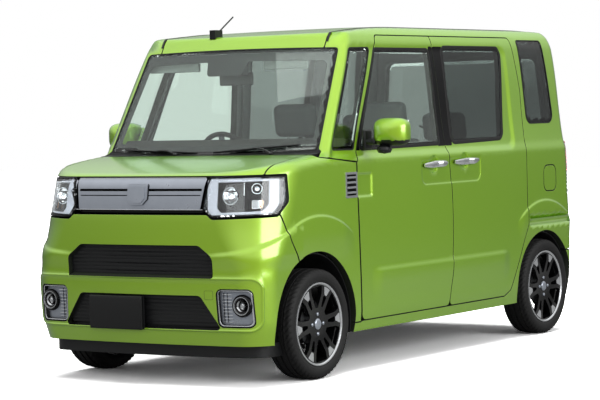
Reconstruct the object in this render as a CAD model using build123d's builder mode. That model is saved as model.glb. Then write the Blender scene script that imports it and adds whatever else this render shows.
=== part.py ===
from build123d import *
from math import cos, hypot, radians, sin
import os

# Tall five-door kei car, in millimetres: +Z up, front towards -Y, the car's left side at +X.
# The origin is on the ground, under the middle of the body.

# Overall. Side view positions are typed for a body 3395 long, and follow its length.
LENGTH = 3395.0
STRETCH = LENGTH / 3395.0
NOSE_Y = -LENGTH / 2
TAIL_Y = LENGTH / 2
WHEELBASE = 2455.0 * STRETCH
FRONT_AXLE_Y = -1145.0 * STRETCH
REAR_AXLE_Y = FRONT_AXLE_Y + WHEELBASE


def along(rows):
    """Side view points, or rows of them, with their Y in proportion to the body's length."""
    if isinstance(rows[0], tuple):
        return tuple(along(row) for row in rows)
    return (rows[0] * STRETCH, rows[1])


# Shell and gaps
WALL = 45.0            # doors, sides, bumpers and roof, each as thick as the whole panel
SHUT_GAP = 7.0         # between a moving panel and its neighbours
FIXED_GAP = 2.0        # between two fixed panels
GLASS_INSET = 2.0
GLASS = 5.0
GRILLE_INSET = 24.0    # the black grilles stand this far back in the bumper

# Wheels
TYRE_R = 281.0
TYRE_WIDTH = 165.0
TYRE_SHOULDER_R = 24.0
RIM_R = 207.0
RIM_WALL = 12.0
RIM_WIDTH = 150.0
RIM_FACE = 28.0
RIM_FACE_INSET = 5.0
HUB_R = 58.0
HUB_PROUD = 8.0
HUB_BACK_X = -10.0
SPINDLE_BORE_DEPTH = 60.0
FRONT_WHEEL_X = 652.5
REAR_WHEEL_X = 647.5
SPINDLE_R = 25.0
SPINDLE_CLEARANCE = 0.05
SPINDLE_REACH = 44.0   # past the wheel's middle
SPOKE_PAIRS = 6
SPOKE_WINDOW = ((76.0, 13.0), (186.0, 54.0), (186.0, -54.0), (76.0, -13.0))    # between pairs
SPOKE_SLOT = ((78.0, 5.0), (184.0, 19.0), (184.0, -19.0), (78.0, -5.0))        # inside a pair

# Wheel arches: circle centre in Y and Z, and radius
FRONT_ARCH = (FRONT_AXLE_Y - 23.0, 285.0, 362.0)
REAR_ARCH = (REAR_AXLE_Y - 18.0, 277.0, 335.0)
LINER_GAP = 4.0
LINER = 6.0
FRONT_LINER_X = 400.0
REAR_LINER_X = 532.0
LINER_OUT_X = 700.0
LINER_WINDOW = (400.0, 500.0)    # opening in the liner's inner wall, below the arch's middle
LINER_WINDOW_DROP = 60.0

# Body sections at rising heights. Columns: z, half width, nose y, front corner radius,
# tail y, rear corner radius.
SECTIONS = tuple(
    (z, half_width, nose_y * STRETCH, nose_r, tail_y * STRETCH, tail_r)
    for z, half_width, nose_y, nose_r, tail_y, tail_r in (
        (203.0, 716.0, -1668.0, 150.0, 1668.0, 80.0),
        (330.0, 731.0, -1690.0, 140.0, 1688.0, 90.0),
        (520.0, 734.0, -1697.5, 140.0, 1697.5, 90.0),
        (820.0, 735.0, -1690.0, 265.0, 1680.0, 90.0),
        (1085.0, 735.0, -1652.0, 318.0, 1662.0, 90.0),
        (1150.0, 721.0, -1640.0, 170.0, 1658.0, 88.0),
        (1681.0, 660.0, -1250.0, 120.0, 1640.0, 82.0),
        (1750.0, 637.0, -1150.0, 120.0, 1624.0, 78.0),
        (1788.0, 606.0, -1120.0, 110.0, 1594.0, 70.0),
        (1840.0, 540.0, -1100.0, 100.0, 1530.0, 60.0),
    )
)
HALF_WIDTH = max(row[1] for row in SECTIONS)
BELT_HALF_WIDTH = SECTIONS[5][1]
NOSE_BOW = 42.0        # how far the nose bulges ahead of its corners
TAIL_BOW = 16.0
BONNET_LINE = along(((-1652.0, 1052.0), (-1380.0, 1104.0), (-1000.0, 1146.0)))
ROOF_LINE = along(((-900.0, 1745.0), (300.0, 1824.0), (1700.0, 1780.0)))
ROOF_CROWN = ((-760.0, 1777.0), (0.0, 1822.0), (760.0, 1777.0))
WINDSCREEN_LINE = along(((-1080.0, 1124.0), (-760.0, 1691.0)))
A_PILLAR_WIDTH = 54.0
WINDSCREEN_HALF_WIDTH = BELT_HALF_WIDTH - A_PILLAR_WIDTH
WINDSCREEN_BOW = 29.0
WINDSCREEN_BOW_OUTSIDE = 1.4 * WINDSCREEN_BOW    # the bow carried on to past the sides

# Room for cuts that pass right through, and the planes that panels are cut outside of
PAST = 65.0
PAST_X = HALF_WIDTH + PAST
PAST_Y = TAIL_Y + PAST
PAST_Z = 1900.0
SIDE_PLANE_X = 420.0
NOSE_PLANE_Y = -1200.0 * STRETCH
TAIL_PLANE_Y = 1500.0 * STRETCH
SCREEN_BACK_Y = -480.0 * STRETCH
SCREEN_FRONT_Y = -1085.0 * STRETCH
ROOF_SPLIT_X = 530.0
SILL_INNER_X = 672.0
SIDE_INNER_X = 684.0
FLOOR_HALF_WIDTH = 664.0
SILL_BOX_X = 560.0
BONNET_HALF_WIDTH = 656.0
BONNET_REAR_Y = -1118.0 * STRETCH

# Side view outlines in Y and Z. Each row is a line (2 points) or an arc (3 points).
SILL_Z = 262.0
DOOR_TOP_Z = 1752.0
DOOR_SPLIT = along(((162.0, SILL_Z), (213.0, 678.0), (187.0, 1094.0)))
DOOR_SPLIT_TOP = along((150.0, DOOR_TOP_Z))
FRONT_DOOR_FOOT = (FRONT_ARCH[0] + 426.0, SILL_Z)
FRONT_DOOR_BELT = along((-769.0, 1083.0))
FRONT_DOOR_TOP = along((-416.0, DOOR_TOP_Z))
FRONT_DOOR = (
    (FRONT_DOOR_FOOT, FRONT_DOOR_BELT),
    (FRONT_DOOR_BELT, FRONT_DOOR_TOP),
    (FRONT_DOOR_TOP, DOOR_SPLIT_TOP),
    (DOOR_SPLIT_TOP, DOOR_SPLIT[2]),
    (DOOR_SPLIT[2], DOOR_SPLIT[1], DOOR_SPLIT[0]),
    (DOOR_SPLIT[0], FRONT_DOOR_FOOT),
)
FRONT_DOOR_ROUNDS = ((FRONT_DOOR_FOOT, 40.0), (DOOR_SPLIT[0], 30.0), (FRONT_DOOR_TOP, 30.0))
SLIDING_DOOR_TOP = along((1060.0, DOOR_TOP_Z))
SLIDING_DOOR_BACK = along(((1100.0, 1447.0), (1086.0, 1095.0)))
SLIDING_DOOR_ARCH = (    # round the rear arch, from behind its top to the sill
    (REAR_ARCH[0] - 207.0, 660.0), (REAR_ARCH[0] - 320.0, 452.0), (REAR_ARCH[0] - 424.0, 292.0),
)
SLIDING_DOOR_FOOT = (REAR_ARCH[0] - 492.0, SILL_Z)
SLIDING_DOOR = (
    DOOR_SPLIT,
    (DOOR_SPLIT[2], DOOR_SPLIT_TOP),
    (DOOR_SPLIT_TOP, SLIDING_DOOR_TOP),
    (SLIDING_DOOR_TOP, SLIDING_DOOR_BACK[0]),
    SLIDING_DOOR_BACK,
    (SLIDING_DOOR_BACK[1], SLIDING_DOOR_ARCH[0]),
    SLIDING_DOOR_ARCH,
    (SLIDING_DOOR_ARCH[2], SLIDING_DOOR_FOOT),
    (SLIDING_DOOR_FOOT, DOOR_SPLIT[0]),
)
SLIDING_DOOR_ROUNDS = ((SLIDING_DOOR_TOP, 30.0), (DOOR_SPLIT[0], 30.0))
DOOR_TOP_INNER_X = 585.0         # the doors reach no further in, under the roof
FRONT_WINDOW = along(((-704.0, 1152.0), (-452.0, 1678.0), (112.0, 1678.0), (126.0, 1158.0)))
FRONT_WINDOW_R = 10.0
SLIDING_WINDOW = along(((262.0, 1160.0), (250.0, 1690.0), (925.0, 1690.0), (850.0, 1170.0)))
SLIDING_WINDOW_R = 36.0
FRONT_QUARTER = along(((-976.0, 1156.0), (-700.0, 1680.0), (-496.0, 1684.0), (-764.0, 1153.0)))
FRONT_QUARTER_R = 18.0
REAR_QUARTER = along(((1142.0, 1250.0), (1138.0, 1738.0), (1440.0, 1738.0), (1478.0, 1250.0)))
REAR_QUARTER_R = 40.0
BUMPER_SPLIT = along(((-1334.0, 614.0), (-1410.0, 723.0), (-1470.0, 861.0)))
BUMPER_SIDE = (
    (-PAST_Y, 0.0), (BUMPER_SPLIT[0][0], 0.0), *BUMPER_SPLIT, (-PAST_Y, BUMPER_SPLIT[2][1]),
)
WING_TOP = along(((-1114.0, 1300.0), (-1114.0, 1124.0), (-776.0, 1087.0)))
HEADLAMP_BACK_Y = -1402.0 * STRETCH
HEADLAMP_FOOT = along(((-1511.0, 820.0), (-1402.0, 915.0)))    # its lower back corner is cut away
HEADLAMP_TOP_Z = 1046.0
HEADLAMP_SIDE = (
    (-PAST_Y, HEADLAMP_FOOT[0][1]), *HEADLAMP_FOOT,
    (HEADLAMP_BACK_Y, HEADLAMP_TOP_Z), (-PAST_Y, HEADLAMP_TOP_Z),
)
WING_LAMP_Y = HEADLAMP_BACK_Y + 3 * FIXED_GAP
WING_FRONT = tuple((y + FIXED_GAP, z + FIXED_GAP) for y, z in BUMPER_SPLIT)
WING_SIDE = (
    (WING_FRONT[0][0], 258.0), *WING_FRONT,
    (WING_LAMP_Y, HEADLAMP_FOOT[1][1]), (WING_LAMP_Y, HEADLAMP_TOP_Z + FIXED_GAP),
    (-PAST_Y, HEADLAMP_TOP_Z + FIXED_GAP), (-PAST_Y, WING_TOP[0][1]), *WING_TOP,
    (FRONT_DOOR_FOOT[0] - SHUT_GAP, 258.0),
)
FRONT_ZONE = (    # what the bumper, wings and bonnet fill, cut from the body side
    (-PAST_Y, 0.0), (FRONT_ARCH[0], 0.0), (FRONT_ARCH[0], 256.0), (WING_SIDE[-1][0] + FIXED_GAP, 256.0),
    (WING_TOP[2][0] + FIXED_GAP, WING_TOP[2][1] + FIXED_GAP),
    (WING_TOP[1][0] + FIXED_GAP, WING_TOP[1][1] + FIXED_GAP),
    (WING_TOP[1][0] + FIXED_GAP, WING_TOP[0][1]), (-PAST_Y, WING_TOP[0][1]),
)
BONNET_FRONT_Z = 1052.0
BONNET_CORNER = (415.0, -1425.0 * STRETCH)    # ahead and outside of this it clears the headlamps
BONNET_SIDE = (
    (-PAST_Y, BONNET_FRONT_Z), along((-1645.0, BONNET_FRONT_Z)), along((-1600.0, 985.0)),
    (BONNET_REAR_Y, 985.0), (BONNET_REAR_Y, WING_TOP[0][1]), (-PAST_Y, WING_TOP[0][1]),
)
REAR_BUMPER_SIDE = ((REAR_ARCH[0], 0.0), (REAR_ARCH[0], 482.0), (PAST_Y, 482.0), (PAST_Y, 0.0))
REAR_BUMPER_FRONT_Y = 1600.0 * STRETCH    # below the side, ahead of which the floor is open
REAR_BUMPER_OPEN_Z = 500.0
FUEL_FLAP = (1371.0 * STRETCH, 922.0, 160.0, 158.0, 42.0)    # middle y and z, size, corner radius
FUEL_FLAP_THICK = 6.0
FUEL_POCKET_DEPTH = 30.0

# Front and rear view outlines in X and Z
WINDSCREEN_TOP = (WINDSCREEN_HALF_WIDTH - 52.0, 1682.0)
WINDSCREEN = (
    ((-WINDSCREEN_HALF_WIDTH, 1161.0), (0.0, 1128.0), (WINDSCREEN_HALF_WIDTH, 1161.0)),
    ((WINDSCREEN_HALF_WIDTH, 1161.0), WINDSCREEN_TOP),
    (WINDSCREEN_TOP, (0.0, 1691.0), (-WINDSCREEN_TOP[0], WINDSCREEN_TOP[1])),
    ((-WINDSCREEN_TOP[0], WINDSCREEN_TOP[1]), (-WINDSCREEN_HALF_WIDTH, 1161.0)),
)
HEADLAMP = ((394.0, 883.0), (451.0, 838.0), (790.0, 850.0), (790.0, HEADLAMP_TOP_Z), (421.0, HEADLAMP_TOP_Z))
GRILLE = ((-386.0, 882.0), (386.0, 882.0), (410.0, 1041.0), (-410.0, 1041.0))
GRILLE_SLOTS = ((972.0, 16.0), (946.0, 6.0))       # height of the slot's middle, and its width
GRILLE_SLOT_SIZE = (730.0, 60.0)
UPPER_OPENING = (
    (-455.0, 546.0), (455.0, 546.0), (455.0, 646.0), (372.0, 706.0), (-372.0, 706.0), (-455.0, 646.0),
)
LOWER_OPENING = ((-495.0, 291.0), (495.0, 291.0), (376.0, 458.0), (-376.0, 458.0))
FOG_LAMP = ((476.0, 304.0), (674.0, 304.0), (668.0, 494.0), (470.0, 494.0))
OPENING_R = 30.0
LOUVRE_GAPS_Z = (580.0, 612.0, 644.0, 676.0, 322.0, 352.0, 382.0, 412.0, 440.0)
LOUVRE_GAP = (720.0, 50.0, 14.0)
LOUVRE_GAP_Y = NOSE_Y + 7.5
TAILGATE = (
    (-640.0, 489.0), (640.0, 489.0), (640.0, 1150.0), (588.0, 1681.0), (566.0, 1850.0),
    (-566.0, 1850.0), (-588.0, 1681.0), (-640.0, 1150.0),
)
TAILGATE_TOP_Y = 1557.0 * STRETCH
TAILGATE_TOP_Z = 1700.0    # above this the tailgate reaches forward over the roof's edge
TAILGATE_GLASS = ((-575.0, 1130.0), (575.0, 1130.0), (525.0, 1640.0), (-525.0, 1640.0))
TAILGATE_GLASS_R = 50.0
TAIL_LAMP = ((650.0, 824.0), (790.0, 824.0), (790.0, 1140.0), (650.0, 1140.0))
TAIL_LAMP_FRONT_Y = 1600.0 * STRETCH
LAMP_ZONE = (500.0, 700.0, 1200.0)    # inner x and the heights that hold a corner lamp

# Number plates
PLATE_WIDTH = 330.0
PLATE_HEIGHT = 165.0
PLATE_THICK = 12.0
PLATE_HOLE_SPACING = 210.0
PLATE_HOLE_R = 3.5
PLATE_HOLE_RISE = 55.0
FRONT_PLATE_X = -133.0
FRONT_PLATE_Z = 366.0
PLATE_PAD = (130.0, 22.0, 60.0)
REAR_PLATE_Z = 640.0

# Floor
FLOOR_Z = 300.0
FLOOR = 40.0
FLOOR_FRONT_Y = -800.0 * STRETCH
TOE_BOARD_Y = -1010.0 * STRETCH
FLOOR_STEP_Y = 930.0 * STRETCH
FLOOR_REAR_Y = 1635.0 * STRETCH
CARGO_Z = 560.0
CARGO_HALF_WIDTH = 525.0
TOE_BOARD_HALF_WIDTH = FRONT_LINER_X - 6.0
SILL_BOTTOM_Z = 208.0
CROSSMEMBERS_Y = tuple(y * STRETCH for y in (-640.0, -150.0, 400.0, 800.0))
CROSSMEMBER = (60.0, 50.0)

# Bulkhead
BULKHEAD_THICK = 15.0
BULKHEAD_STEP_Z = 655.0
BULKHEAD_TOP_Z = 1110.0
COWL_Z = (1000.0, 1158.0)
COWL_BACK_Y = -1000.0 * STRETCH
COWL_TRAY = along(((-1200.0, 900.0), (-1200.0, 1050.0), (-1090.0, 1050.0), (-1090.0, 900.0)))

# Handles and mirrors
HANDLES_Y = ((-96.0 * STRETCH, 142.0 * STRETCH), (230.0 * STRETCH, 489.0 * STRETCH))
HANDLE_Z = 1054.0
HANDLE_X = HALF_WIDTH + 2.0
HANDLE_SIZE = (16.0, 26.0)
MIRROR_X = (790.0, 975.0)
MIRROR_Y = -665.0 * STRETCH
MIRROR_Z = 1240.0
MIRROR_DEPTH = 110.0
MIRROR_HEIGHT = 146.0
MIRROR_R = 42.0
MIRROR_INNER_R = 20.0
MIRROR_STALK_X = (778.0, 860.0)
MIRROR_STALK_HALF_DEPTH = 30.0
MIRROR_FOOT_Z = (1096.0, 1136.0)
MIRROR_FOOT_X = (690.0, 810.0)
MIRROR_FOOT_Y = (MIRROR_Y - 46.0, MIRROR_Y + 20.0)    # behind the door's hinge axis

# Cabin
DASHBOARD_HALF_WIDTH = 660.0
DASHBOARD_SIDE = along((
    (-990.0, 820.0), (-990.0, 1140.0), (-900.0, 1215.0), (-700.0, 1205.0), (-610.0, 1060.0), (-640.0, 820.0),
))
SEAT_BASE_Z = FLOOR_Z + FLOOR + 2.0
FRONT_SEAT_X = (90.0, 570.0)
FRONT_SEAT_SIDE = along((
    (-330.0, SEAT_BASE_Z), (-340.0, 690.0), (90.0, 660.0),
    (240.0, 1250.0), (330.0, 1250.0), (220.0, SEAT_BASE_Z),
))
FRONT_HEADREST_X = (210.0, 450.0)
FRONT_HEADREST_SIDE = along(((250.0, 1240.0), (270.0, 1400.0), (350.0, 1400.0), (330.0, 1240.0)))
REAR_SEAT_HALF_WIDTH = 590.0
REAR_SEAT_SIDE = along((
    (430.0, SEAT_BASE_Z), (420.0, 700.0), (800.0, 670.0),
    (880.0, 1200.0), (926.0, 1200.0), (910.0, SEAT_BASE_Z),
))
REAR_HEADREST_X = 330.0
REAR_HEADREST_HALF_WIDTH = 120.0
REAR_HEADREST_SIDE = along(((880.0, 1190.0), (880.0, 1330.0), (940.0, 1330.0), (940.0, 1190.0)))
STEERING_WHEEL = (-300.0, -455.0 * STRETCH, 1085.0)
STEERING_R = 185.0
STEERING_RIM_R = 14.0
STEERING_PAD_R = 55.0
STEERING_SPOKE = 38.0
STEERING_SHAFT_R = 12.0
STEERING_SHAFT = 64.0
COLUMN_TILT = 25.0
COLUMN_R = 32.0
COLUMN_START = -22.0
COLUMN = 260.0
COLUMN_BORE = 60.0

# Engine, exhaust and suspension
ENGINE_HALF_WIDTH = 290.0
ENGINE_Y = (-1480.0 * STRETCH, -1060.0 * STRETCH)
ENGINE_Z = (290.0, 760.0)
EXHAUST_PIPE = (-330.0, 226.0, 18.0)    # x, z and radius
EXHAUST_Y = (-950.0 * STRETCH, 1450.0 * STRETCH)
SILENCER = (-260.0, 285.0, 150.0, 75.0)    # x and z of the middle, and half sizes
SILENCER_Y = (1440.0 * STRETCH, 1580.0 * STRETCH)
FUEL_TANK_X = (-290.0, 480.0)
FUEL_TANK_Y = (-100.0 * STRETCH, 350.0 * STRETCH)
FUEL_TANK_Z = (215.0, 298.0)
KINGPIN_X = 600.0
KINGPIN_R = 8.0
KINGPIN_Z = (151.0, 185.0)
SUBFRAME_HALF = (340.0, 60.0)
SUBFRAME_Z = (180.0, 240.0)
ARM_X = (300.0, 618.0)
ARM_HALF_DEPTH = 22.0
ARM_Z = (150.0, 175.0)
STRUT_X = 495.0
STRUT_R = 25.0
STRUT_Z = (400.0, 625.0)
STRUT_TOP_R = 46.0
STRUT_TOP_Z = (570.0, 620.0)
KNUCKLE_X = (540.0, 566.0)
KNUCKLE_HALF_DEPTH = 45.0
KNUCKLE_Z = (181.0, 385.0)
KNUCKLE_EAR_X = 612.0
KNUCKLE_EAR_HALF_DEPTH = 18.0
KNUCKLE_EAR_Z = 200.0
FRONT_BRAKE = (588.0, 14.0, 90.0)    # inner x, thickness and radius
REAR_BRAKE = (520.0, 50.0, 100.0)
BEAM_HALF_WIDTH = 500.0
BEAM_Y = (REAR_AXLE_Y - 180.0, REAR_AXLE_Y - 120.0)
BEAM_Z = (250.0, 320.0)
TRAILING_ARM_X = (470.0, 510.0)
TRAILING_ARM_Y = (REAR_AXLE_Y - 325.0, REAR_AXLE_Y + 40.0)
TRAILING_ARM_Z = (255.0, 310.0)

# Roof aerial
AERIAL = (-200.0, -689.0 * STRETCH, 1780.0)
AERIAL_BASE = (36.0, 70.0, 50.0)
AERIAL_R = 4.0
AERIAL_LENGTH = 190.0
AERIAL_LEAN = (0.0, 0.85, 0.52)

PIECES = {}


def keep(name, piece):
    """Label a finished piece, so that it is written as a file of that name."""
    piece.label = name
    PIECES[name] = piece


def both_sides(piece):
    """The piece and its mirror image across the middle of the car."""
    with BuildPart() as pair:
        add(piece)
        add(mirror(piece, about=Plane.YZ, mode=Mode.PRIVATE))
    return pair.part


def left_and_right(name, piece):
    """Two nodes, one for each side of the car."""
    keep(f"{name}_left", piece)
    keep(f"{name}_right", mirror(piece, about=Plane.YZ, mode=Mode.PRIVATE))


def outline(plane, rows, rounds=(), grow=0.0):
    """Closed face of lines and arcs. A row of plain points is a polygon."""
    with BuildSketch(plane) as face:
        with BuildLine():
            if isinstance(rows[0][0], tuple):
                for row in rows:
                    if len(row) == 3:
                        ThreePointArc(*row)
                    else:
                        Line(*row)
            else:
                Polyline(*rows, close=True)
        make_face()
        for corner, radius in rounds:
            fillet(face.vertices().sort_by_distance(corner)[0], radius)
        if grow:
            offset(amount=grow, kind=Kind.INTERSECTION, mode=Mode.REPLACE)
    return face.sketch


def all_rounds(points, radius):
    return tuple((point, radius) for point in points)


def under_arc(plane, line, inset, reach):
    """Room below an arc of three points, right across the car."""
    (a, za), (b, zb), (c, zc) = line
    with BuildPart() as room:
        with BuildSketch(plane):
            with BuildLine():
                ThreePointArc((a, za - inset), (b, zb - inset), (c, zc - inset))
                Polyline(
                    (c, zc - inset), (PAST_Y, zc - inset), (PAST_Y, 0), (-PAST_Y, 0),
                    (-PAST_Y, za - inset), (a, za - inset),
                )
            make_face()
        extrude(amount=reach, both=True)
    return room.part


def hull(inset):
    """Closed body shape, moved in by inset all round."""
    with BuildPart() as body:
        for z, half_width, nose_y, front_r, tail_y, rear_r in SECTIONS:
            level = z + inset if z == SECTIONS[0][0] else z
            side, nose, tail = half_width - inset, nose_y + inset, tail_y - inset
            with BuildSketch(Plane.XY.offset(level)) as section:
                with BuildLine():
                    ThreePointArc((-side, nose + NOSE_BOW), (0, nose), (side, nose + NOSE_BOW))
                    Line((side, nose + NOSE_BOW), (side, tail - TAIL_BOW))
                    ThreePointArc((side, tail - TAIL_BOW), (0, tail), (-side, tail - TAIL_BOW))
                    Line((-side, tail - TAIL_BOW), (-side, nose + NOSE_BOW))
                make_face()
                fillet(section.vertices().group_by(Axis.Y)[0], front_r - inset)
                fillet(section.vertices().group_by(Axis.Y)[-1], rear_r - inset)
        loft(ruled=True)
        # The bonnet's line ahead, and the bowed windscreen and the cabin behind
        add(room_under_bonnet_and_screen(inset), mode=Mode.INTERSECT)
        add(under_arc(Plane.XZ, ROOF_CROWN, inset, PAST_Y), mode=Mode.INTERSECT)
        add(under_arc(Plane.YZ, ROOF_LINE, inset, PAST_X), mode=Mode.INTERSECT)
    return body.part


def room_under_bonnet_and_screen(inset):
    (y0, z0), (y1, z1) = WINDSCREEN_LINE
    slope = hypot(y1 - y0, z1 - z0)
    lean = Vector(0, (y1 - y0) / slope, (z1 - z0) / slope)
    foot_y = y0 - z0 * (y1 - y0) / (z1 - z0) + inset / lean.Z
    half, bow_y, wide_y = WINDSCREEN_HALF_WIDTH, foot_y + WINDSCREEN_BOW, foot_y + WINDSCREEN_BOW_OUTSIDE
    (a, za), (b, zb), (c, zc) = BONNET_LINE
    with BuildPart() as room:
        with BuildSketch(Plane.YZ):
            with BuildLine():
                ThreePointArc((a, za - inset), (b, zb - inset), (c, zc - inset))
                Polyline((c, zc - inset), (c, 0), (-PAST_Y, 0), (-PAST_Y, za - inset), (a, za - inset))
            make_face()
        extrude(amount=PAST_X, both=True)
        with BuildSketch(Plane.XY):
            with BuildLine():
                ThreePointArc((-half, bow_y), (0, foot_y), (half, bow_y))
                Polyline(
                    (half, bow_y), (PAST_X, wide_y), (PAST_X, foot_y + 2 * LENGTH),
                    (-PAST_X, foot_y + 2 * LENGTH), (-PAST_X, wide_y), (-half, bow_y),
                )
            make_face()
        extrude(amount=PAST_Z / lean.Z, dir=lean)
    return room.part


def arch_hole(arch, inner_x):
    """Cylinders that open both wheel arches of an axle."""
    y, z, radius = arch
    with BuildPart() as hole:
        with BuildSketch(Plane.YZ.offset(inner_x)):
            with Locations((y, z)):
                Circle(radius)
        extrude(amount=PAST_X - inner_x)
        mirror(about=Plane.YZ)
    return hole.part


def side_cut(rows, rounds=(), grow=0.0):
    with BuildPart() as cutter:
        extrude(outline(Plane.YZ.offset(SIDE_PLANE_X), rows, rounds, grow), amount=PAST_X - SIDE_PLANE_X)
    return cutter.part


def cross_cut(rows, half_width=PAST_X, grow=0.0):
    """Prism of a side view outline, right across the car."""
    with BuildPart() as cutter:
        extrude(outline(Plane.YZ, rows, (), grow), amount=half_width, both=True)
    return cutter.part


def front_cut(rows, rounds=(), grow=0.0, back_y=NOSE_PLANE_Y, front_y=-PAST_Y):
    """Prism of a front view outline, between two cross planes."""
    with BuildPart() as cutter:
        extrude(outline(Plane.XZ.offset(-back_y), rows, rounds, grow), amount=back_y - front_y)
    return cutter.part


def tail_cut(rows, rounds=(), grow=0.0):
    return front_cut(rows, rounds, grow, PAST_Y, TAIL_PLANE_Y)


def trimmed(base, room, *cutters):
    """What a base solid has in common with a room, less the cutters."""
    with BuildPart() as piece:
        add(base)
        add(room, mode=Mode.INTERSECT)
        for cutter in cutters:
            add(cutter, mode=Mode.SUBTRACT)
    return piece.part


def block(x, y, z):
    """Box between two limits along each axis."""
    with BuildPart() as box:
        with Locations((sum(x) / 2, sum(y) / 2, sum(z) / 2)):
            Box(x[1] - x[0], y[1] - y[0], z[1] - z[0])
    return box.part


def around(middle, half):
    return (middle - half, middle + half)


outside = hull(0.0)
inside = hull(WALL)
ALL_X = (-PAST_X, PAST_X)
ALL_Y = (-PAST_Y, PAST_Y)
ALL_Z = (0.0, PAST_Z)


def panel(room, *cutters):
    """Piece of the body shell, as thick as the wall."""
    return trimmed(outside, room, inside, *cutters)


def pane(room, outer=hull(GLASS_INSET), inner=hull(GLASS_INSET + GLASS)):
    """Piece of glass that follows the body's outside."""
    return trimmed(outer, room, inner)


def recessed(room, outer=hull(GRILLE_INSET)):
    """Piece set back behind the body's outside."""
    return trimmed(outer, room, inside)


# Cutters shared by neighbouring panels
front_arch_hole = arch_hole(FRONT_ARCH, FRONT_LINER_X)
rear_arch_hole = arch_hole(REAR_ARCH, REAR_LINER_X)


def bonnet_zone(grow):
    """The bonnet's room, whose front corners stand above the headlamps."""
    corner_x, corner_y = BONNET_CORNER
    over_lamps = block((corner_x + grow, PAST_X), (-PAST_Y, corner_y - grow), (0.0, BONNET_FRONT_Z - grow))
    room = cross_cut(BONNET_SIDE, BONNET_HALF_WIDTH + grow, grow)
    return trimmed(room, block(ALL_X, ALL_Y, ALL_Z), both_sides(over_lamps))


def lamp_side(grow):
    return trimmed(both_sides(front_cut(HEADLAMP, grow=grow)), cross_cut(HEADLAMP_SIDE, grow=grow))


bonnet_room = bonnet_zone(SHUT_GAP)
windscreen_hole = front_cut(WINDSCREEN, back_y=SCREEN_BACK_Y, front_y=SCREEN_FRONT_Y)


def tailgate_zone(grow, top_y):
    """The tailgate's room, which laps forward on to the roof above its hinges."""
    return trimmed(
        tail_cut(TAILGATE, grow=grow),
        block(ALL_X, (TAIL_PLANE_Y, PAST_Y), ALL_Z),
        block(ALL_X, (0.0, top_y), (TAILGATE_TOP_Z, PAST_Z)),
    )


def lamp_zone(y0, y1):
    inner_x, low, high = LAMP_ZONE
    return block((inner_x, PAST_X), (y0, y1), (low, high))


tailgate_room = tailgate_zone(SHUT_GAP / 2, TAILGATE_TOP_Y - SHUT_GAP)
headlamp_room = lamp_side(FIXED_GAP)
tail_lamp_room = trimmed(
    tail_cut(TAIL_LAMP, grow=FIXED_GAP), lamp_zone(TAIL_LAMP_FRONT_Y - FIXED_GAP, PAST_Y),
)
grille_room = front_cut(GRILLE, grow=FIXED_GAP)


# Body panels
with BuildPart() as body_side:
    add(panel(block((ROOF_SPLIT_X + FIXED_GAP, PAST_X), (BONNET_REAR_Y - 280.0, PAST_Y), ALL_Z)))
    # The sill and the foot of the windscreen pillar stop short of the floor and the bulkhead
    add(block((0, SILL_INNER_X), (-PAST_Y, FLOOR_REAR_Y - 55.0), (0, 900.0)), mode=Mode.SUBTRACT)
    add(block((0, SIDE_INNER_X), (-PAST_Y, COWL_BACK_Y + 30.0), (0, 1160.0)), mode=Mode.SUBTRACT)
    for cutter in (
        cross_cut(FRONT_ZONE),
        side_cut(FRONT_DOOR, FRONT_DOOR_ROUNDS, SHUT_GAP / 2),
        side_cut(SLIDING_DOOR, SLIDING_DOOR_ROUNDS, SHUT_GAP / 2),
        side_cut(FRONT_QUARTER, all_rounds(FRONT_QUARTER, FRONT_QUARTER_R)),
        side_cut(REAR_QUARTER, all_rounds(REAR_QUARTER, REAR_QUARTER_R)),
        windscreen_hole,
        front_arch_hole,
        rear_arch_hole,
        tailgate_room,
        cross_cut(REAR_BUMPER_SIDE, grow=FIXED_GAP),
        tail_lamp_room,
    ):
        add(cutter, mode=Mode.SUBTRACT)

flap_y, flap_z, flap_width, flap_height, flap_r = FUEL_FLAP
with BuildPart() as body_side_left:
    add(body_side.part)
    with BuildSketch(Plane.YZ.offset(HALF_WIDTH - FUEL_POCKET_DEPTH)):
        with Locations((flap_y, flap_z)):
            RectangleRounded(flap_width + 2 * SHUT_GAP, flap_height + 2 * SHUT_GAP, flap_r + SHUT_GAP)
    extrude(amount=2 * FUEL_POCKET_DEPTH, mode=Mode.SUBTRACT)
keep("body_side_left", body_side_left.part)
keep("body_side_right", mirror(body_side.part, about=Plane.YZ, mode=Mode.PRIVATE))

with BuildPart() as fuel_flap:
    add(outside)
    with BuildSketch(Plane.YZ.offset(HALF_WIDTH - FUEL_POCKET_DEPTH / 2)):
        with Locations((flap_y, flap_z)):
            RectangleRounded(flap_width, flap_height, flap_r)
    extrude(amount=FUEL_POCKET_DEPTH, mode=Mode.INTERSECT)
    add(hull(FUEL_FLAP_THICK), mode=Mode.SUBTRACT)
keep("fuel_flap", fuel_flap.part)

roof_x = around(0.0, ROOF_SPLIT_X)
keep("roof", panel(
    block(roof_x, (-900.0 * STRETCH, TAILGATE_TOP_Y - SHUT_GAP), (1600.0, PAST_Z)),
    windscreen_hole,
    block(roof_x, (-PAST_Y, SCREEN_BACK_Y - 20.0), (1500.0, 1690.0)),
))
keep("front_wings", both_sides(panel(
    side_cut(WING_SIDE), bonnet_room, front_arch_hole, headlamp_room,
    block((0, SIDE_INNER_X), (BONNET_REAR_Y - 32.0, 0.0), ALL_Z),
)))
keep("bonnet", panel(bonnet_zone(0.0)))
keep("headlamps", panel(lamp_side(0.0), bonnet_room))
with BuildPart() as grille:
    add(panel(front_cut(GRILLE), bonnet_room))
    for height, width in GRILLE_SLOTS:
        with Locations((0, NOSE_Y - 2.5, height)):
            Box(*GRILLE_SLOT_SIZE, width, mode=Mode.SUBTRACT)
keep("front_grille", grille.part)

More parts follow.
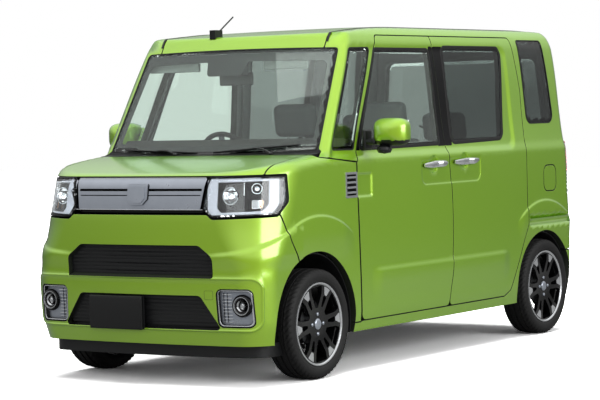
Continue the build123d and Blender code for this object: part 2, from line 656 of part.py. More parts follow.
opening_cuts = (
    front_cut(UPPER_OPENING, all_rounds(UPPER_OPENING, OPENING_R)),
    front_cut(LOWER_OPENING, all_rounds(LOWER_OPENING, OPENING_R)),
)
fog_cut = both_sides(front_cut(FOG_LAMP, all_rounds(FOG_LAMP, OPENING_R)))
keep("front_bumper", panel(
    cross_cut(BUMPER_SIDE), headlamp_room, grille_room, *opening_cuts, fog_cut,
    front_arch_hole, bonnet_room,
))
keep("fog_lamps", recessed(fog_cut))

with BuildPart() as bumper_grilles:
    for opening in opening_cuts:
        add(recessed(opening))
    for height in LOUVRE_GAPS_Z:
        with Locations((0, LOUVRE_GAP_Y, height)):
            Box(*LOUVRE_GAP, mode=Mode.SUBTRACT)
    with BuildSketch(Plane.XZ.offset(-NOSE_Y - PLATE_THICK)):
        with Locations((FRONT_PLATE_X, FRONT_PLATE_Z)):
            Rectangle(PLATE_WIDTH, PLATE_HEIGHT)
            with Locations(*((x, PLATE_HOLE_RISE) for x in around(0.0, PLATE_HOLE_SPACING / 2))):
                Circle(PLATE_HOLE_R, mode=Mode.SUBTRACT)
    extrude(amount=PLATE_THICK)
    with Locations((FRONT_PLATE_X, LOUVRE_GAP_Y + PLATE_PAD[1] / 2, FRONT_PLATE_Z)):
        Box(*PLATE_PAD)
keep("bumper_grilles", bumper_grilles.part)

keep("windscreen", pane(windscreen_hole))
for name, rows, radius in (
    ("front_quarter_glass", FRONT_QUARTER, FRONT_QUARTER_R),
    ("rear_quarter_glass", REAR_QUARTER, REAR_QUARTER_R),
):
    keep(name, both_sides(pane(side_cut(rows, all_rounds(rows, radius)))))

# Doors
for name, rows, rounds, window, window_r, handle_y in (
    ("front_door", FRONT_DOOR, FRONT_DOOR_ROUNDS, FRONT_WINDOW, FRONT_WINDOW_R, HANDLES_Y[0]),
    ("sliding_door", SLIDING_DOOR, SLIDING_DOOR_ROUNDS, SLIDING_WINDOW, SLIDING_WINDOW_R, HANDLES_Y[1]),
):
    window_cut = side_cut(window, all_rounds(window, window_r))
    with BuildPart() as door:
        add(panel(
            side_cut(rows, rounds, -SHUT_GAP / 2), window_cut,
            block((0, DOOR_TOP_INNER_X), ALL_Y, (TAILGATE_TOP_Z, PAST_Z)),
        ))
        add(block(
            around(HANDLE_X, HANDLE_SIZE[0] / 2), handle_y, around(HANDLE_Z, HANDLE_SIZE[1] / 2),
        ))
    left_and_right(name, door.part)
    left_and_right(f"{name}_glass", pane(window_cut))

with BuildPart() as mirror_shape:
    with BuildSketch(Plane.YZ.offset(MIRROR_X[0])):
        with Locations((MIRROR_Y, MIRROR_Z)):
            RectangleRounded(MIRROR_DEPTH, MIRROR_HEIGHT, MIRROR_R)
    extrude(amount=MIRROR_X[1] - MIRROR_X[0])
    fillet(mirror_shape.edges().group_by(Axis.X)[-1], MIRROR_R)
    fillet(mirror_shape.edges().group_by(Axis.X)[0], MIRROR_INNER_R)
    add(block(MIRROR_STALK_X, around(MIRROR_Y, MIRROR_STALK_HALF_DEPTH), (MIRROR_FOOT_Z[0], MIRROR_Z)))
    add(block(MIRROR_FOOT_X, MIRROR_FOOT_Y, MIRROR_FOOT_Z))
    add(outside, mode=Mode.SUBTRACT)
left_and_right("door_mirror", mirror_shape.part)

# Tailgate
tailgate_window = tail_cut(TAILGATE_GLASS, all_rounds(TAILGATE_GLASS, TAILGATE_GLASS_R))
with BuildPart() as tailgate:
    add(panel(tailgate_zone(-SHUT_GAP / 2, TAILGATE_TOP_Y), tailgate_window))
    with BuildSketch(Plane.XZ.offset(-PAST_Y)):
        with Locations(*((x, REAR_PLATE_Z) for x in around(0.0, PLATE_HOLE_SPACING / 2))):
            Circle(PLATE_HOLE_R)
    extrude(amount=PAST_Y - TAIL_PLANE_Y, mode=Mode.SUBTRACT)
keep("tailgate", tailgate.part)
keep("tailgate_glass", pane(tailgate_window))
keep("tail_lamps", both_sides(panel(tail_cut(TAIL_LAMP), lamp_zone(0.0, TAIL_LAMP_FRONT_Y), tailgate_room)))
keep("rear_bumper", panel(
    cross_cut(REAR_BUMPER_SIDE), rear_arch_hole,
    block(ALL_X, (0.0, REAR_BUMPER_FRONT_Y), (0.0, REAR_BUMPER_OPEN_Z)),
))

# Structure behind and below the panels
with BuildPart() as bulkhead:
    add(panel(
        block(around(0.0, SIDE_INNER_X - FIXED_GAP), (BONNET_REAR_Y + SHUT_GAP, COWL_BACK_Y), COWL_Z),
        windscreen_hole,
        cross_cut(COWL_TRAY),
    ))
    wall_y = (TOE_BOARD_Y, TOE_BOARD_Y + BULKHEAD_THICK)
    add(block(around(0.0, TOE_BOARD_HALF_WIDTH), wall_y, (FLOOR_Z + FLOOR, BULKHEAD_STEP_Z)))
    add(block(around(0.0, SILL_INNER_X), wall_y, (BULKHEAD_STEP_Z, BULKHEAD_TOP_Z)))
keep("bulkhead", bulkhead.part)

with BuildPart() as floor_pan:
    floor_z, cargo_z = (FLOOR_Z, FLOOR_Z + FLOOR), (CARGO_Z, CARGO_Z + FLOOR)
    add(block(around(0.0, FLOOR_HALF_WIDTH), (FLOOR_FRONT_Y, FLOOR_STEP_Y), floor_z))
    add(block(around(0.0, TOE_BOARD_HALF_WIDTH), (TOE_BOARD_Y, FLOOR_FRONT_Y), floor_z))
    for sill_x in ((SILL_BOX_X, FLOOR_HALF_WIDTH), (-FLOOR_HALF_WIDTH, -SILL_BOX_X)):
        add(block(sill_x, (FLOOR_FRONT_Y, FLOOR_STEP_Y), (SILL_BOTTOM_Z, FLOOR_Z)))
    for y in CROSSMEMBERS_Y:
        member_y, member_z = around(y, CROSSMEMBER[0] / 2), (FLOOR_Z - CROSSMEMBER[1], FLOOR_Z)
        add(block(around(0.0, SILL_BOX_X), member_y, member_z))
    add(block(around(0.0, CARGO_HALF_WIDTH), (FLOOR_STEP_Y, FLOOR_STEP_Y + FLOOR), (FLOOR_Z, CARGO_Z)))
    add(block(around(0.0, CARGO_HALF_WIDTH), (FLOOR_STEP_Y, FLOOR_REAR_Y), cargo_z))
keep("floor_pan", floor_pan.part)

with BuildPart() as liners:
    for (arch_y, arch_z, arch_r), inner_x in ((FRONT_ARCH, FRONT_LINER_X), (REAR_ARCH, REAR_LINER_X)):
        outer_r = arch_r - LINER_GAP
        with BuildSketch(Plane.YZ.offset(inner_x)):
            with Locations((arch_y, arch_z)):
                Circle(outer_r)
                Circle(outer_r - LINER, mode=Mode.SUBTRACT)
        extrude(amount=LINER_OUT_X - inner_x)
        with BuildSketch(Plane.YZ.offset(inner_x)):
            with Locations((arch_y, arch_z)):
                Circle(outer_r)
            with Locations((arch_y, arch_z - LINER_WINDOW_DROP)):
                Rectangle(*LINER_WINDOW, mode=Mode.SUBTRACT)
        extrude(amount=LINER)
    add(block((0.0, PAST_X), ALL_Y, (-PAST_X, SILL_BOTTOM_Z)), mode=Mode.SUBTRACT)
    mirror(about=Plane.YZ)
keep("arch_liners", liners.part)


# Cabin
def across(rows, x):
    """Solid with a side view outline, between two limits across the car."""
    with BuildPart() as solid:
        extrude(outline(Plane.YZ.offset(x[0]), rows), amount=x[1] - x[0])
    return solid.part


with BuildPart() as front_seat:
    add(across(FRONT_SEAT_SIDE, FRONT_SEAT_X))
    add(across(FRONT_HEADREST_SIDE, FRONT_HEADREST_X))
keep("front_seats", both_sides(front_seat.part))

with BuildPart() as rear_seat:
    add(across(REAR_SEAT_SIDE, around(0.0, REAR_SEAT_HALF_WIDTH)))
    for x in around(0.0, REAR_HEADREST_X):
        add(across(REAR_HEADREST_SIDE, around(x, REAR_HEADREST_HALF_WIDTH)))
keep("rear_seat", rear_seat.part)

column_axis = Vector(0, cos(radians(COLUMN_TILT)), sin(radians(COLUMN_TILT)))
wheel_plane = Plane(origin=STEERING_WHEEL, x_dir=(1, 0, 0), z_dir=column_axis)
rim_section = Plane(origin=STEERING_WHEEL, x_dir=(1, 0, 0), z_dir=wheel_plane.y_dir)
with BuildPart() as steering_wheel:
    with BuildSketch(rim_section):
        with Locations((STEERING_R - STEERING_RIM_R, 0)):
            Circle(STEERING_RIM_R)
    revolve(axis=Axis(STEERING_WHEEL, column_axis))
    with BuildSketch(wheel_plane.offset(-16.0)):
        Circle(STEERING_PAD_R)
        Rectangle(2 * (STEERING_R - STEERING_RIM_R), STEERING_SPOKE)
        with Locations((0, -STEERING_R / 2)):
            Rectangle(STEERING_SPOKE, STEERING_R - STEERING_RIM_R)
    extrude(amount=2 * STEERING_RIM_R)
    with BuildSketch(wheel_plane.offset(-STEERING_SHAFT - 12.0)):
        Circle(STEERING_SHAFT_R)
    extrude(amount=STEERING_SHAFT)
keep("steering_wheel", steering_wheel.part)

with BuildPart() as dashboard:
    with BuildSketch(wheel_plane.offset(COLUMN_START)):
        Circle(COLUMN_R)
    extrude(amount=-COLUMN)
    with BuildSketch(wheel_plane.offset(COLUMN_START)):
        Circle(STEERING_SHAFT_R + SPINDLE_CLEARANCE)
    extrude(amount=-COLUMN_BORE, mode=Mode.SUBTRACT)
    add(across(DASHBOARD_SIDE, around(0.0, DASHBOARD_HALF_WIDTH)))
keep("dashboard", dashboard.part)

# Engine, exhaust and suspension
keep("engine", block(around(0.0, ENGINE_HALF_WIDTH), ENGINE_Y, ENGINE_Z))
keep("fuel_tank", block(FUEL_TANK_X, FUEL_TANK_Y, FUEL_TANK_Z))
with BuildPart() as exhaust:
    pipe_x, pipe_z, pipe_r = EXHAUST_PIPE
    with BuildSketch(Plane.XZ.offset(-EXHAUST_Y[0])):
        with Locations((pipe_x, pipe_z)):
            Circle(pipe_r)
    extrude(amount=EXHAUST_Y[0] - EXHAUST_Y[1])
    with BuildSketch(Plane.XZ.offset(-SILENCER_Y[0])):
        with Locations(SILENCER[:2]):
            Ellipse(*SILENCER[2:])
    extrude(amount=SILENCER_Y[0] - SILENCER_Y[1])
keep("exhaust", exhaust.part)


def disc(x, thick, y, radius):
    """Disc on an axle's line, from x outwards."""
    with BuildPart() as solid:
        with BuildSketch(Plane.YZ.offset(x)):
            with Locations((y, TYRE_R)):
                Circle(radius)
        extrude(amount=thick)
    return solid.part


def upright(x, y, z, radius):
    """Round bar between two heights."""
    with BuildPart() as solid:
        with BuildSketch(Plane.XY.offset(z[0])):
            with Locations((x, y)):
                Circle(radius)
        extrude(amount=z[1] - z[0])
    return solid.part


with BuildPart() as front_suspension:
    add(block(around(0.0, SUBFRAME_HALF[0]), around(FRONT_AXLE_Y, SUBFRAME_HALF[1]), SUBFRAME_Z))
    add(block(ARM_X, around(FRONT_AXLE_Y, ARM_HALF_DEPTH), ARM_Z))
    add(block((ARM_X[0], SUBFRAME_HALF[0]), around(FRONT_AXLE_Y, ARM_HALF_DEPTH), (ARM_Z[0], SUBFRAME_Z[1])))
    pin_hole = upright(KINGPIN_X, FRONT_AXLE_Y, (0.0, KINGPIN_Z[1]), KINGPIN_R + SPINDLE_CLEARANCE)
    add(pin_hole, mode=Mode.SUBTRACT)
    add(upright(STRUT_X, FRONT_AXLE_Y, STRUT_Z, STRUT_R))
    add(upright(STRUT_X, FRONT_AXLE_Y, STRUT_TOP_Z, STRUT_TOP_R))
    mirror(about=Plane.YZ)
keep("front_suspension", front_suspension.part)

with BuildPart() as rear_axle:
    add(block(around(0.0, BEAM_HALF_WIDTH), BEAM_Y, BEAM_Z))
    add(block(TRAILING_ARM_X, TRAILING_ARM_Y, TRAILING_ARM_Z))
    add(disc(BEAM_HALF_WIDTH, REAR_WHEEL_X + SPINDLE_REACH - BEAM_HALF_WIDTH, REAR_AXLE_Y, SPINDLE_R))
    add(disc(REAR_BRAKE[0], REAR_BRAKE[1], REAR_AXLE_Y, REAR_BRAKE[2]))
    mirror(about=Plane.YZ)
keep("rear_axle", rear_axle.part)

with BuildPart() as knuckle:
    add(block(KNUCKLE_X, around(FRONT_AXLE_Y, KNUCKLE_HALF_DEPTH), KNUCKLE_Z))
    ear_x, ear_z = (KNUCKLE_X[1] - 6.0, KNUCKLE_EAR_X), (KNUCKLE_Z[0], KNUCKLE_EAR_Z)
    add(block(ear_x, around(FRONT_AXLE_Y, KNUCKLE_EAR_HALF_DEPTH), ear_z))
    add(upright(KINGPIN_X, FRONT_AXLE_Y, KINGPIN_Z, KINGPIN_R))
    add(disc(KNUCKLE_X[0] + 5.0, FRONT_WHEEL_X + SPINDLE_REACH - KNUCKLE_X[0] - 5.0, FRONT_AXLE_Y, SPINDLE_R))
    add(disc(FRONT_BRAKE[0], FRONT_BRAKE[1], FRONT_AXLE_Y, FRONT_BRAKE[2]))
left_and_right("knuckle", knuckle.part)


# Wheels
def tyre(x, y):
    with BuildPart() as ring:
        with BuildSketch(Plane(origin=(x, y, TYRE_R), x_dir=(1, 0, 0), z_dir=(0, -1, 0))) as section:
            with Locations((0, (RIM_R + TYRE_R) / 2)):
                Rectangle(TYRE_WIDTH, TYRE_R - RIM_R)
            fillet(section.vertices().group_by(Axis.Y)[-1], TYRE_SHOULDER_R)
        revolve(axis=Axis((x, y, TYRE_R), (1, 0, 0)))
    return ring.part


def rim(x, y):
    """Barrel, and a face of paired spokes cut from a disc. The outside is towards +X."""
    face_x = RIM_WIDTH / 2 - RIM_FACE_INSET
    with BuildPart() as wheel:
        with BuildSketch(Plane.YZ.offset(-RIM_WIDTH / 2)):
            Circle(RIM_R)
            Circle(RIM_R - RIM_WALL, mode=Mode.SUBTRACT)
        extrude(amount=RIM_WIDTH)
        with BuildSketch(Plane.YZ.offset(face_x - RIM_FACE)):
            Circle(RIM_R - RIM_WALL / 2)
            with PolarLocations(0, SPOKE_PAIRS):
                Polygon(*SPOKE_WINDOW, align=None, mode=Mode.SUBTRACT)
            with PolarLocations(0, SPOKE_PAIRS, start_angle=180.0 / SPOKE_PAIRS):
                Polygon(*SPOKE_SLOT, align=None, mode=Mode.SUBTRACT)
        extrude(amount=RIM_FACE)
        with BuildSketch(Plane.YZ.offset(HUB_BACK_X)):
            Circle(HUB_R)
        extrude(amount=face_x + HUB_PROUD)
        with BuildSketch(Plane.YZ.offset(HUB_BACK_X)):
            Circle(SPINDLE_R + SPINDLE_CLEARANCE)
        extrude(amount=SPINDLE_BORE_DEPTH, mode=Mode.SUBTRACT)
    return wheel.part.moved(Location((x, y, TYRE_R)))


for name, x, y in (("front", FRONT_WHEEL_X, FRONT_AXLE_Y), ("rear", REAR_WHEEL_X, REAR_AXLE_Y)):
    left_and_right(f"tyre_{name}", tyre(x, y))
    left_and_right(f"rim_{name}", rim(x, y))

# Roof aerial
with BuildPart() as aerial:
    with Locations(AERIAL):
        Box(*AERIAL_BASE)
    with BuildSketch(Plane(origin=AERIAL, z_dir=AERIAL_LEAN)):
        Circle(AERIAL_R)
    extrude(amount=AERIAL_LENGTH)
    add(outside, mode=Mode.SUBTRACT)
keep("aerial", aerial.part)

os.makedirs("parts", exist_ok=True)
for name, piece in PIECES.items():
    export_step(piece, f"parts/{name}.step")
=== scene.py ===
import math

import bpy
import numpy as np
from mathutils import Matrix, Vector
from mathutils.geometry import delaunay_2d_cdt


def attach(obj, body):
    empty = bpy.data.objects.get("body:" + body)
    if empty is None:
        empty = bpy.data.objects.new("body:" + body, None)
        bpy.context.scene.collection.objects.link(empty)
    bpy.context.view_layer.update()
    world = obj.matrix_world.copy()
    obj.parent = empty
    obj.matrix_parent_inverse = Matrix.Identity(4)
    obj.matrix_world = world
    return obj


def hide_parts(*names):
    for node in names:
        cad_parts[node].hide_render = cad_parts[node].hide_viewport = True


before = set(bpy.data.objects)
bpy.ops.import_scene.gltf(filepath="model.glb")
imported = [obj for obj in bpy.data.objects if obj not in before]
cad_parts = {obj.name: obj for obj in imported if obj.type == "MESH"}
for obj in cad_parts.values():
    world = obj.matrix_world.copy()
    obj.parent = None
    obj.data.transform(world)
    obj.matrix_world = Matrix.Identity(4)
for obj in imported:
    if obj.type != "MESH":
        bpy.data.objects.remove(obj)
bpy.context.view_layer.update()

# Lengths are in millimetres, and meshes are made in metres.
MM = 0.001
X, Y, Z = np.eye(3)

# Body sections at rising heights: z, half width, nose y, front corner radius, tail y, rear
# corner radius.
SECTIONS = np.array((
    (203, 716, -1668, 150, 1668, 80),
    (330, 731, -1690, 140, 1688, 90),
    (520, 734, -1697.5, 140, 1697.5, 90),
    (820, 735, -1690, 265, 1680, 90),
    (1085, 735, -1652, 318, 1662, 90),
    (1150, 721, -1640, 170, 1658, 88),
    (1681, 660, -1250, 120, 1640, 82),
    (1750, 637, -1150, 120, 1624, 78),
    (1788, 606, -1120, 110, 1594, 70),
    (1840, 540, -1100, 100, 1530, 60),
))
NOSE_BOW = 42
TAIL_BOW = 16
BONNET_LINE = ((-1652, 1052), (-1380, 1104), (-1000, 1146))
ROOF_LINE = ((-900, 1745), (300, 1824), (1700, 1780))
ROOF_CROWN = ((-760, 1777), (0, 1822), (760, 1777))
WINDSCREEN_LINE = ((-1080, 1124), (-760, 1691))
WINDSCREEN_HALF_WIDTH = 667
WINDSCREEN_BOW = 29
BONNET_END_Y = -900
FRONT_ARCH = (-1168, 285, 362)           # y, z and radius
REAR_ARCH = (1292, 277, 335)
SHOULDER_BLEND = 60
PILLAR_BLEND = 40
ROOF_BLEND = 12
COWL_BLEND = 8
EDGE_ROUND = 3
GAP = 2          # each side of a shut line
POLAR_R = 700
AXIS_Y = {"nose": -1100, "tail": 1150}


# ---------------------------------------------------------------- the body's surface
def through(columns, at):
    """Smooth curves through a table's columns: cubic Hermites whose slopes are limited so that
    they never overshoot between the table's rows. The first column is what they run along."""
    x, y = columns[:, 0], columns[:, 1:]
    step = np.diff(x)[:, None]
    rise = np.diff(y, axis=0) / step
    slope = np.zeros_like(y)
    same = rise[1:] * rise[:-1] > 0
    both = np.where(same, rise[1:] + rise[:-1], 1)
    slope[1:-1] = np.where(same, 2 * rise[1:] * rise[:-1] / both, 0)
    slope[0], slope[-1] = rise[0], rise[-1]
    i = np.clip(np.searchsorted(x, at) - 1, 0, len(x) - 2)
    h = (x[i + 1] - x[i])[..., None]
    t = np.clip((at - x[i])[..., None] / h, 0, 1)
    return ((2 * t**3 - 3 * t**2 + 1) * y[i] + (t**3 - 2 * t**2 + t) * h * slope[i]
            + (3 * t**2 - 2 * t**3) * y[i + 1] + (t**3 - t**2) * h * slope[i + 1])


def parabola(line, at):
    """Shallow arc, as the parabola through three points."""
    (a, za), (b, zb), (c, zc) = line
    return (za * (at - b) * (at - c) / ((a - b) * (a - c))
            + zb * (at - a) * (at - c) / ((b - a) * (b - c))
            + zc * (at - a) * (at - b) / ((c - a) * (c - b)))


def soft_max(a, b, blend):
    """Larger of two, with the edge where they are equal rounded over the blend's width."""
    h = np.clip(blend - np.abs(a - b), 0, None) / blend
    return np.maximum(a, b) + h * h * blend / 4


def ramp(value, low, high):
    """Smooth step from 0 at low to 1 at high."""
    t = np.clip((value - low) / (high - low), 0, 1)
    return t * t * (3 - 2 * t)


def body(p):
    """Signed distance, about, from the body's outside: the rounded plan outline at each height,
    cut by the bonnet and windscreen ahead and by the crowned roof above."""
    x, y, z = p[..., 0], p[..., 1], p[..., 2]
    level = np.clip(z, SECTIONS[0, 0], SECTIONS[-1, 0])
    half, nose, nose_r, tail, tail_r = np.moveaxis(through(SECTIONS, level), -1, 0)
    ax = np.abs(x)
    share = np.minimum(ax / half, 1) ** 2
    ahead = y < 0
    radius = np.where(ahead, nose_r, tail_r)
    over = np.where(ahead, nose + NOSE_BOW * share - y, y - tail + TAIL_BOW * share)
    qx, qy = ax - half + radius, over + radius
    plan = np.hypot(np.maximum(qx, 0), np.maximum(qy, 0)) + np.minimum(np.maximum(qx, qy), 0) - radius
    (y0, z0), (y1, z1) = WINDSCREEN_LINE
    lean = (y1 - y0) / (z1 - z0)
    bow = WINDSCREEN_BOW * (ax / WINDSCREEN_HALF_WIDTH) ** 2
    screen = (y0 + (z - z0) * lean + bow - y) / math.hypot(1, lean)
    bonnet = z - parabola(BONNET_LINE, np.minimum(y, BONNET_END_Y))
    room = -soft_max(-screen, -bonnet, COWL_BLEND)
    blend = np.where(screen > bonnet, SHOULDER_BLEND, PILLAR_BLEND)
    roof = z + soft_max(-parabola(ROOF_CROWN, ax), -parabola(ROOF_LINE, y), ROOF_BLEND)
    whole = soft_max(soft_max(plan, room, blend), roof, ROOF_BLEND)
    return whole - pressings(ax, y, z)


def inside_of(u, v, left, right, low, high, radius):
    """Distance in from the edge of a rectangle with rounded corners, below 0 outside it."""
    qu = np.abs(u - (left + right) / 2) - (right - left) / 2 + radius
    qv = np.abs(v - (low + high) / 2) - (high - low) / 2 + radius
    return radius - np.hypot(np.maximum(qu, 0), np.maximum(qv, 0)) - np.minimum(np.maximum(qu, qv), 0)


# Pressed forms. Rectangles are (left, right, low, high, corner radius).
FLARE = (-1150, 272, 548, 568)         # arc centre, and the radii of its step's edges
QUARTER_FLARE = (1292, 277, 508, 528)
FOOT_STEP = (500, 541)
GRIP_PANEL = (-112, 534, 942, 1130, 46)
GRIP_BOWLS = ((20, 1049), (360, 1056))
BOWL_R = (40, 51)
GARNISH_RECESS = (-860, -616, 898, 1036, 20)
WINDOW_RECESS = (-1300, 985, 1096, 1716, 80)
WINDOW_RECESS_FRONT = (-1008, 1150, 0.525)  # y at a height, and its lean
NOSE_FRAME = (-662, 662, 287, 545, 56)
BULGE_LINE = ((452, 668), (647, 704), (812, 770))
RAIL_CHANNEL = (1100, 1622, 650, 692, 5)
PLATE_RECESS = (-262, 262, 700, 926, 44)


# How far each form stands out or sinks in, and where its ends fade away.
FLARE_RISE, QUARTER_RISE, FOOT_RISE, RIDGE_RISE, BULGE_RISE = 9, 8, 8, 7, 11
GRIP_SINK, BOWL_SINK, GARNISH_SINK, RAIL_SINK, WINDOW_SINK, PLATE_SINK = 4.5, 17, 10, 20, 12, 14
SIDE_FADE, NOSE_FADE = (560, 660), (1400, 1450)
FLARE_FADE = ((560, 740), (790, 930))
QUARTER_FADE = ((540, 700), (950, 1050))
FOOT_FADE = ((330, 480), (-650, -540), (-870, -770))
BULGE_FADE = ((-24, 6), (400, 520), (575, 660))
GRIP_EDGE, GRIP_FADE = (-6, 7), (1050, 1084)
PLATE_EDGE, GARNISH_EDGE, RAIL_EDGE = (-8, 14), (0, 20), (0, 5)
WINDOW_EDGE, WINDOW_HEIGHTS, WINDOW_THINNING = (0, 44), (1200, 1690), 0.35
WINDOW_CORNER, WINDOW_LEAN_COS = 30, 0.885
RIDGE_WIDTH = 5.5
WING_END_Y, NOSE_END_Y, TAIL_START_Y = -768, -1300, 1500


def window_depth(y, z):
    """Distance in from the edge of the recess that the side windows stand in."""
    front_y, front_z, lean = WINDOW_RECESS_FRONT
    ahead = (y - front_y - (z - front_z) * lean) * WINDOW_LEAN_COS
    return -soft_max(-ahead, -inside_of(y, z, *WINDOW_RECESS), WINDOW_CORNER)


def pressings(x, y, z):
    """How far pressed forms stand out of the plain body: flares over the wheel arches, the step
    along the foot of the doors, recesses for windows, grips, garnish, slide rail and plate, the
    ridge round the bumper's lower panel and the bulge at its corners."""
    def arch(form, rise, fade, along):
        """Flare whose step follows an arc, fading out by height and along the car."""
        radius = np.hypot(y - form[0], z - form[1])
        return rise * (1 - ramp(radius, *form[2:])) * ramp(z, *fade[0]) * ramp(along, *fade[1])

    side = ramp(x, *SIDE_FADE)
    flare = arch(FLARE, FLARE_RISE, FLARE_FADE, -y)
    quarter = arch(QUARTER_FLARE, QUARTER_RISE, QUARTER_FADE, y)
    foot = FOOT_RISE * (1 - ramp(z, *FOOT_STEP)) * ramp(z, *FOOT_FADE[0])
    foot = foot * ramp(y, *FOOT_FADE[1]) * ramp(-y, *FOOT_FADE[2])
    grips = GRIP_SINK * ramp(inside_of(y, z, *GRIP_PANEL), *GRIP_EDGE) * (1 - ramp(z, *GRIP_FADE))
    for bowl_y, bowl_z in GRIP_BOWLS:
        grips = grips + BOWL_SINK * (1 - ramp(np.hypot(y - bowl_y, z - bowl_z), *BOWL_R))
    garnish = GARNISH_SINK * ramp(inside_of(y, z, *GARNISH_RECESS), *GARNISH_EDGE) * (y > WING_END_Y)
    rail = RAIL_SINK * ramp(inside_of(y, z, *RAIL_CHANNEL), *RAIL_EDGE)
    windows = WINDOW_SINK * ramp(window_depth(y, z), *WINDOW_EDGE)
    windows = windows * (1 - WINDOW_THINNING * ramp(z, *WINDOW_HEIGHTS))
    turn = POLAR_R * np.arctan2(x, AXIS_Y["nose"] - y)
    nose = ramp(-y, *NOSE_FADE)
    ridge = RIDGE_RISE * np.exp(-(inside_of(turn, z, *NOSE_FRAME) / RIDGE_WIDTH) ** 2)
    above = z - parabola(BULGE_LINE, np.clip(turn, 380, 860))
    bulge = BULGE_RISE * (1 - ramp(above, *BULGE_FADE[0])) * ramp(turn, *BULGE_FADE[1])
    bulge = bulge * ramp(z, *BULGE_FADE[2])
    plate = PLATE_SINK * ramp(inside_of(x, z, *PLATE_RECESS), *PLATE_EDGE) * (y > TAIL_START_Y)
    out = np.maximum(flare, bulge * (y < NOSE_END_Y)) + quarter + foot
    return side * (out - grips - garnish - windows - rail) + nose * (ridge + (1 - side) * bulge) - plate


def outward(p):
    """Unit normals of the body's surface, from central differences."""
    step = 1
    n = np.stack([body(p + step * axis) - body(p - step * axis) for axis in (X, Y, Z)], axis=-1)
    return n / np.linalg.norm(n, axis=-1, keepdims=True)


def settled(p, depth=0):
    """Points moved along the surface's normal on to it, or to a depth below it."""
    for _ in range(5):
        p = p - (body(p) + depth)[:, None] * outward(p)
    return p


def cast(start, direction, depth=0, reach=2600, steps=90):
    """Points where rays meet the body's surface: a march to the first crossing, then bisection."""
    t = np.linspace(0, reach, steps)
    path = start[:, None] + t[None, :, None] * direction[:, None]
    inside = body(path) + depth <= 0
    first = np.argmax(inside, axis=1)
    missed = ~inside.any(axis=1)
    assert not missed.any(), ("rays miss the body", start[missed][:3], direction[missed][:3])
    low, high = t[np.maximum(first - 1, 0)], t[first]
    for _ in range(20):
        middle = (low + high) / 2
        is_in = body(start + middle[:, None] * direction) + depth <= 0
        high = np.where(is_in, middle, high)
        low = np.where(is_in, low, middle)
    return start + high[:, None] * direction


# Ways to look at the surface. Flat ones have a direction; the others turn round an upright axis.
VIEWS = {"side": (Y, Z, -X), "front": (X, Z, Y), "back": (X, Z, -Y), "top": (X, Y, -Z)}


def looking(direction):
    """View along a direction, as two axes across it and the direction."""
    look = np.asarray(direction, float)
    look = look / np.linalg.norm(look)
    across = np.cross(look, Z if abs(look[2]) < 0.9 else Y)
    across /= np.linalg.norm(across)
    return across, np.cross(across, look), look


def flatten(p, view):
    """Flat places at which a view shows points."""
    if isinstance(view, str) and view in AXIS_Y:
        sign = -1 if view == "nose" else 1
        angle = np.arctan2(p[:, 0], sign * (p[:, 1] - AXIS_Y[view]))
        return np.stack((POLAR_R * angle, p[:, 2]), axis=-1)
    u, v, _ = VIEWS[view] if isinstance(view, str) else view
    return np.stack((p @ u, p @ v), axis=-1)


def place(flat, view, depth=0):
    """Points on the body's surface that a view shows at flat places."""
    flat = np.asarray(flat, float)
    if isinstance(view, str) and view in AXIS_Y:
        sign = -1 if view == "nose" else 1
        angle = flat[:, 0] / POLAR_R
        out = np.stack((np.sin(angle), sign * np.cos(angle), 0 * angle), axis=-1)
        start = out * 1500 + np.stack((0 * angle, 0 * angle + AXIS_Y[view], flat[:, 1]), axis=-1)
        return cast(start, -out, depth, 1500)
    u, v, look = VIEWS[view] if isinstance(view, str) else view
    start = flat[:, :1] * u + flat[:, 1:] * v - 2300 * look
    return cast(start, np.broadcast_to(look, start.shape), depth, 4600, 150)


def dense(line, spacing, closed=False):
    """Line with points no further apart than the spacing."""
    line = np.asarray(line, float)
    ends = np.roll(line, -1, axis=0) if closed else line[1:]
    out = [line[:1]]
    for a, b in zip(line, ends):
        count = max(1, math.ceil(np.linalg.norm(b - a) / spacing))
        out.append(a + (b - a) * (np.arange(1, count + 1) / count)[:, None])
    out = np.concatenate(out)
    return out[:-1] if closed else out


def drawn(*parts, spacing=10):
    """Closed line on the body's surface, from parts that are each (view, points). A part's line
    is straight in its own view, and the next part carries on from it."""
    points = np.concatenate([place(dense(flat, spacing), view) for view, flat in parts])
    apart = np.linalg.norm(np.roll(points, -1, axis=0) - points, axis=1)
    return points[apart > (0.3 * spacing if len(parts) > 1 else 0.05)]


# ---------------------------------------------------------------- flat outlines
def corner(before, middle, after, radius, steps=7):
    """Arc of the given radius, tangent to both sides of a corner."""
    a, b = before - middle, after - middle
    a, b = a / np.linalg.norm(a), b / np.linalg.norm(b)
    half = math.acos(np.clip(a @ b, -1, 1)) / 2
    if radius <= 0 or half > 1.56:
        return [middle]
    reach = radius / math.tan(half)
    hub = middle + (a + b) / np.linalg.norm(a + b) * radius / math.sin(half)
    start, end = middle + a * reach - hub, middle + b * reach - hub
    turn = math.atan2(start[0] * end[1] - start[1] * end[0], start @ end)
    angle = np.linspace(0, turn, steps + 1)[:, None]
    return list(hub + start * np.cos(angle) + np.array((-start[1], start[0])) * np.sin(angle))


def loop(*rows):
    """Closed outline with rounded corners, from rows of (u, v, corner radius)."""
    points = np.array([row[:2] for row in rows], float)
    out = []
    for i, row in enumerate(rows):
        after = points[(i + 1) % len(rows)]
        out += corner(points[i - 1], points[i], after, row[2] if len(row) > 2 else 0)
    return np.array(out + out[:1])


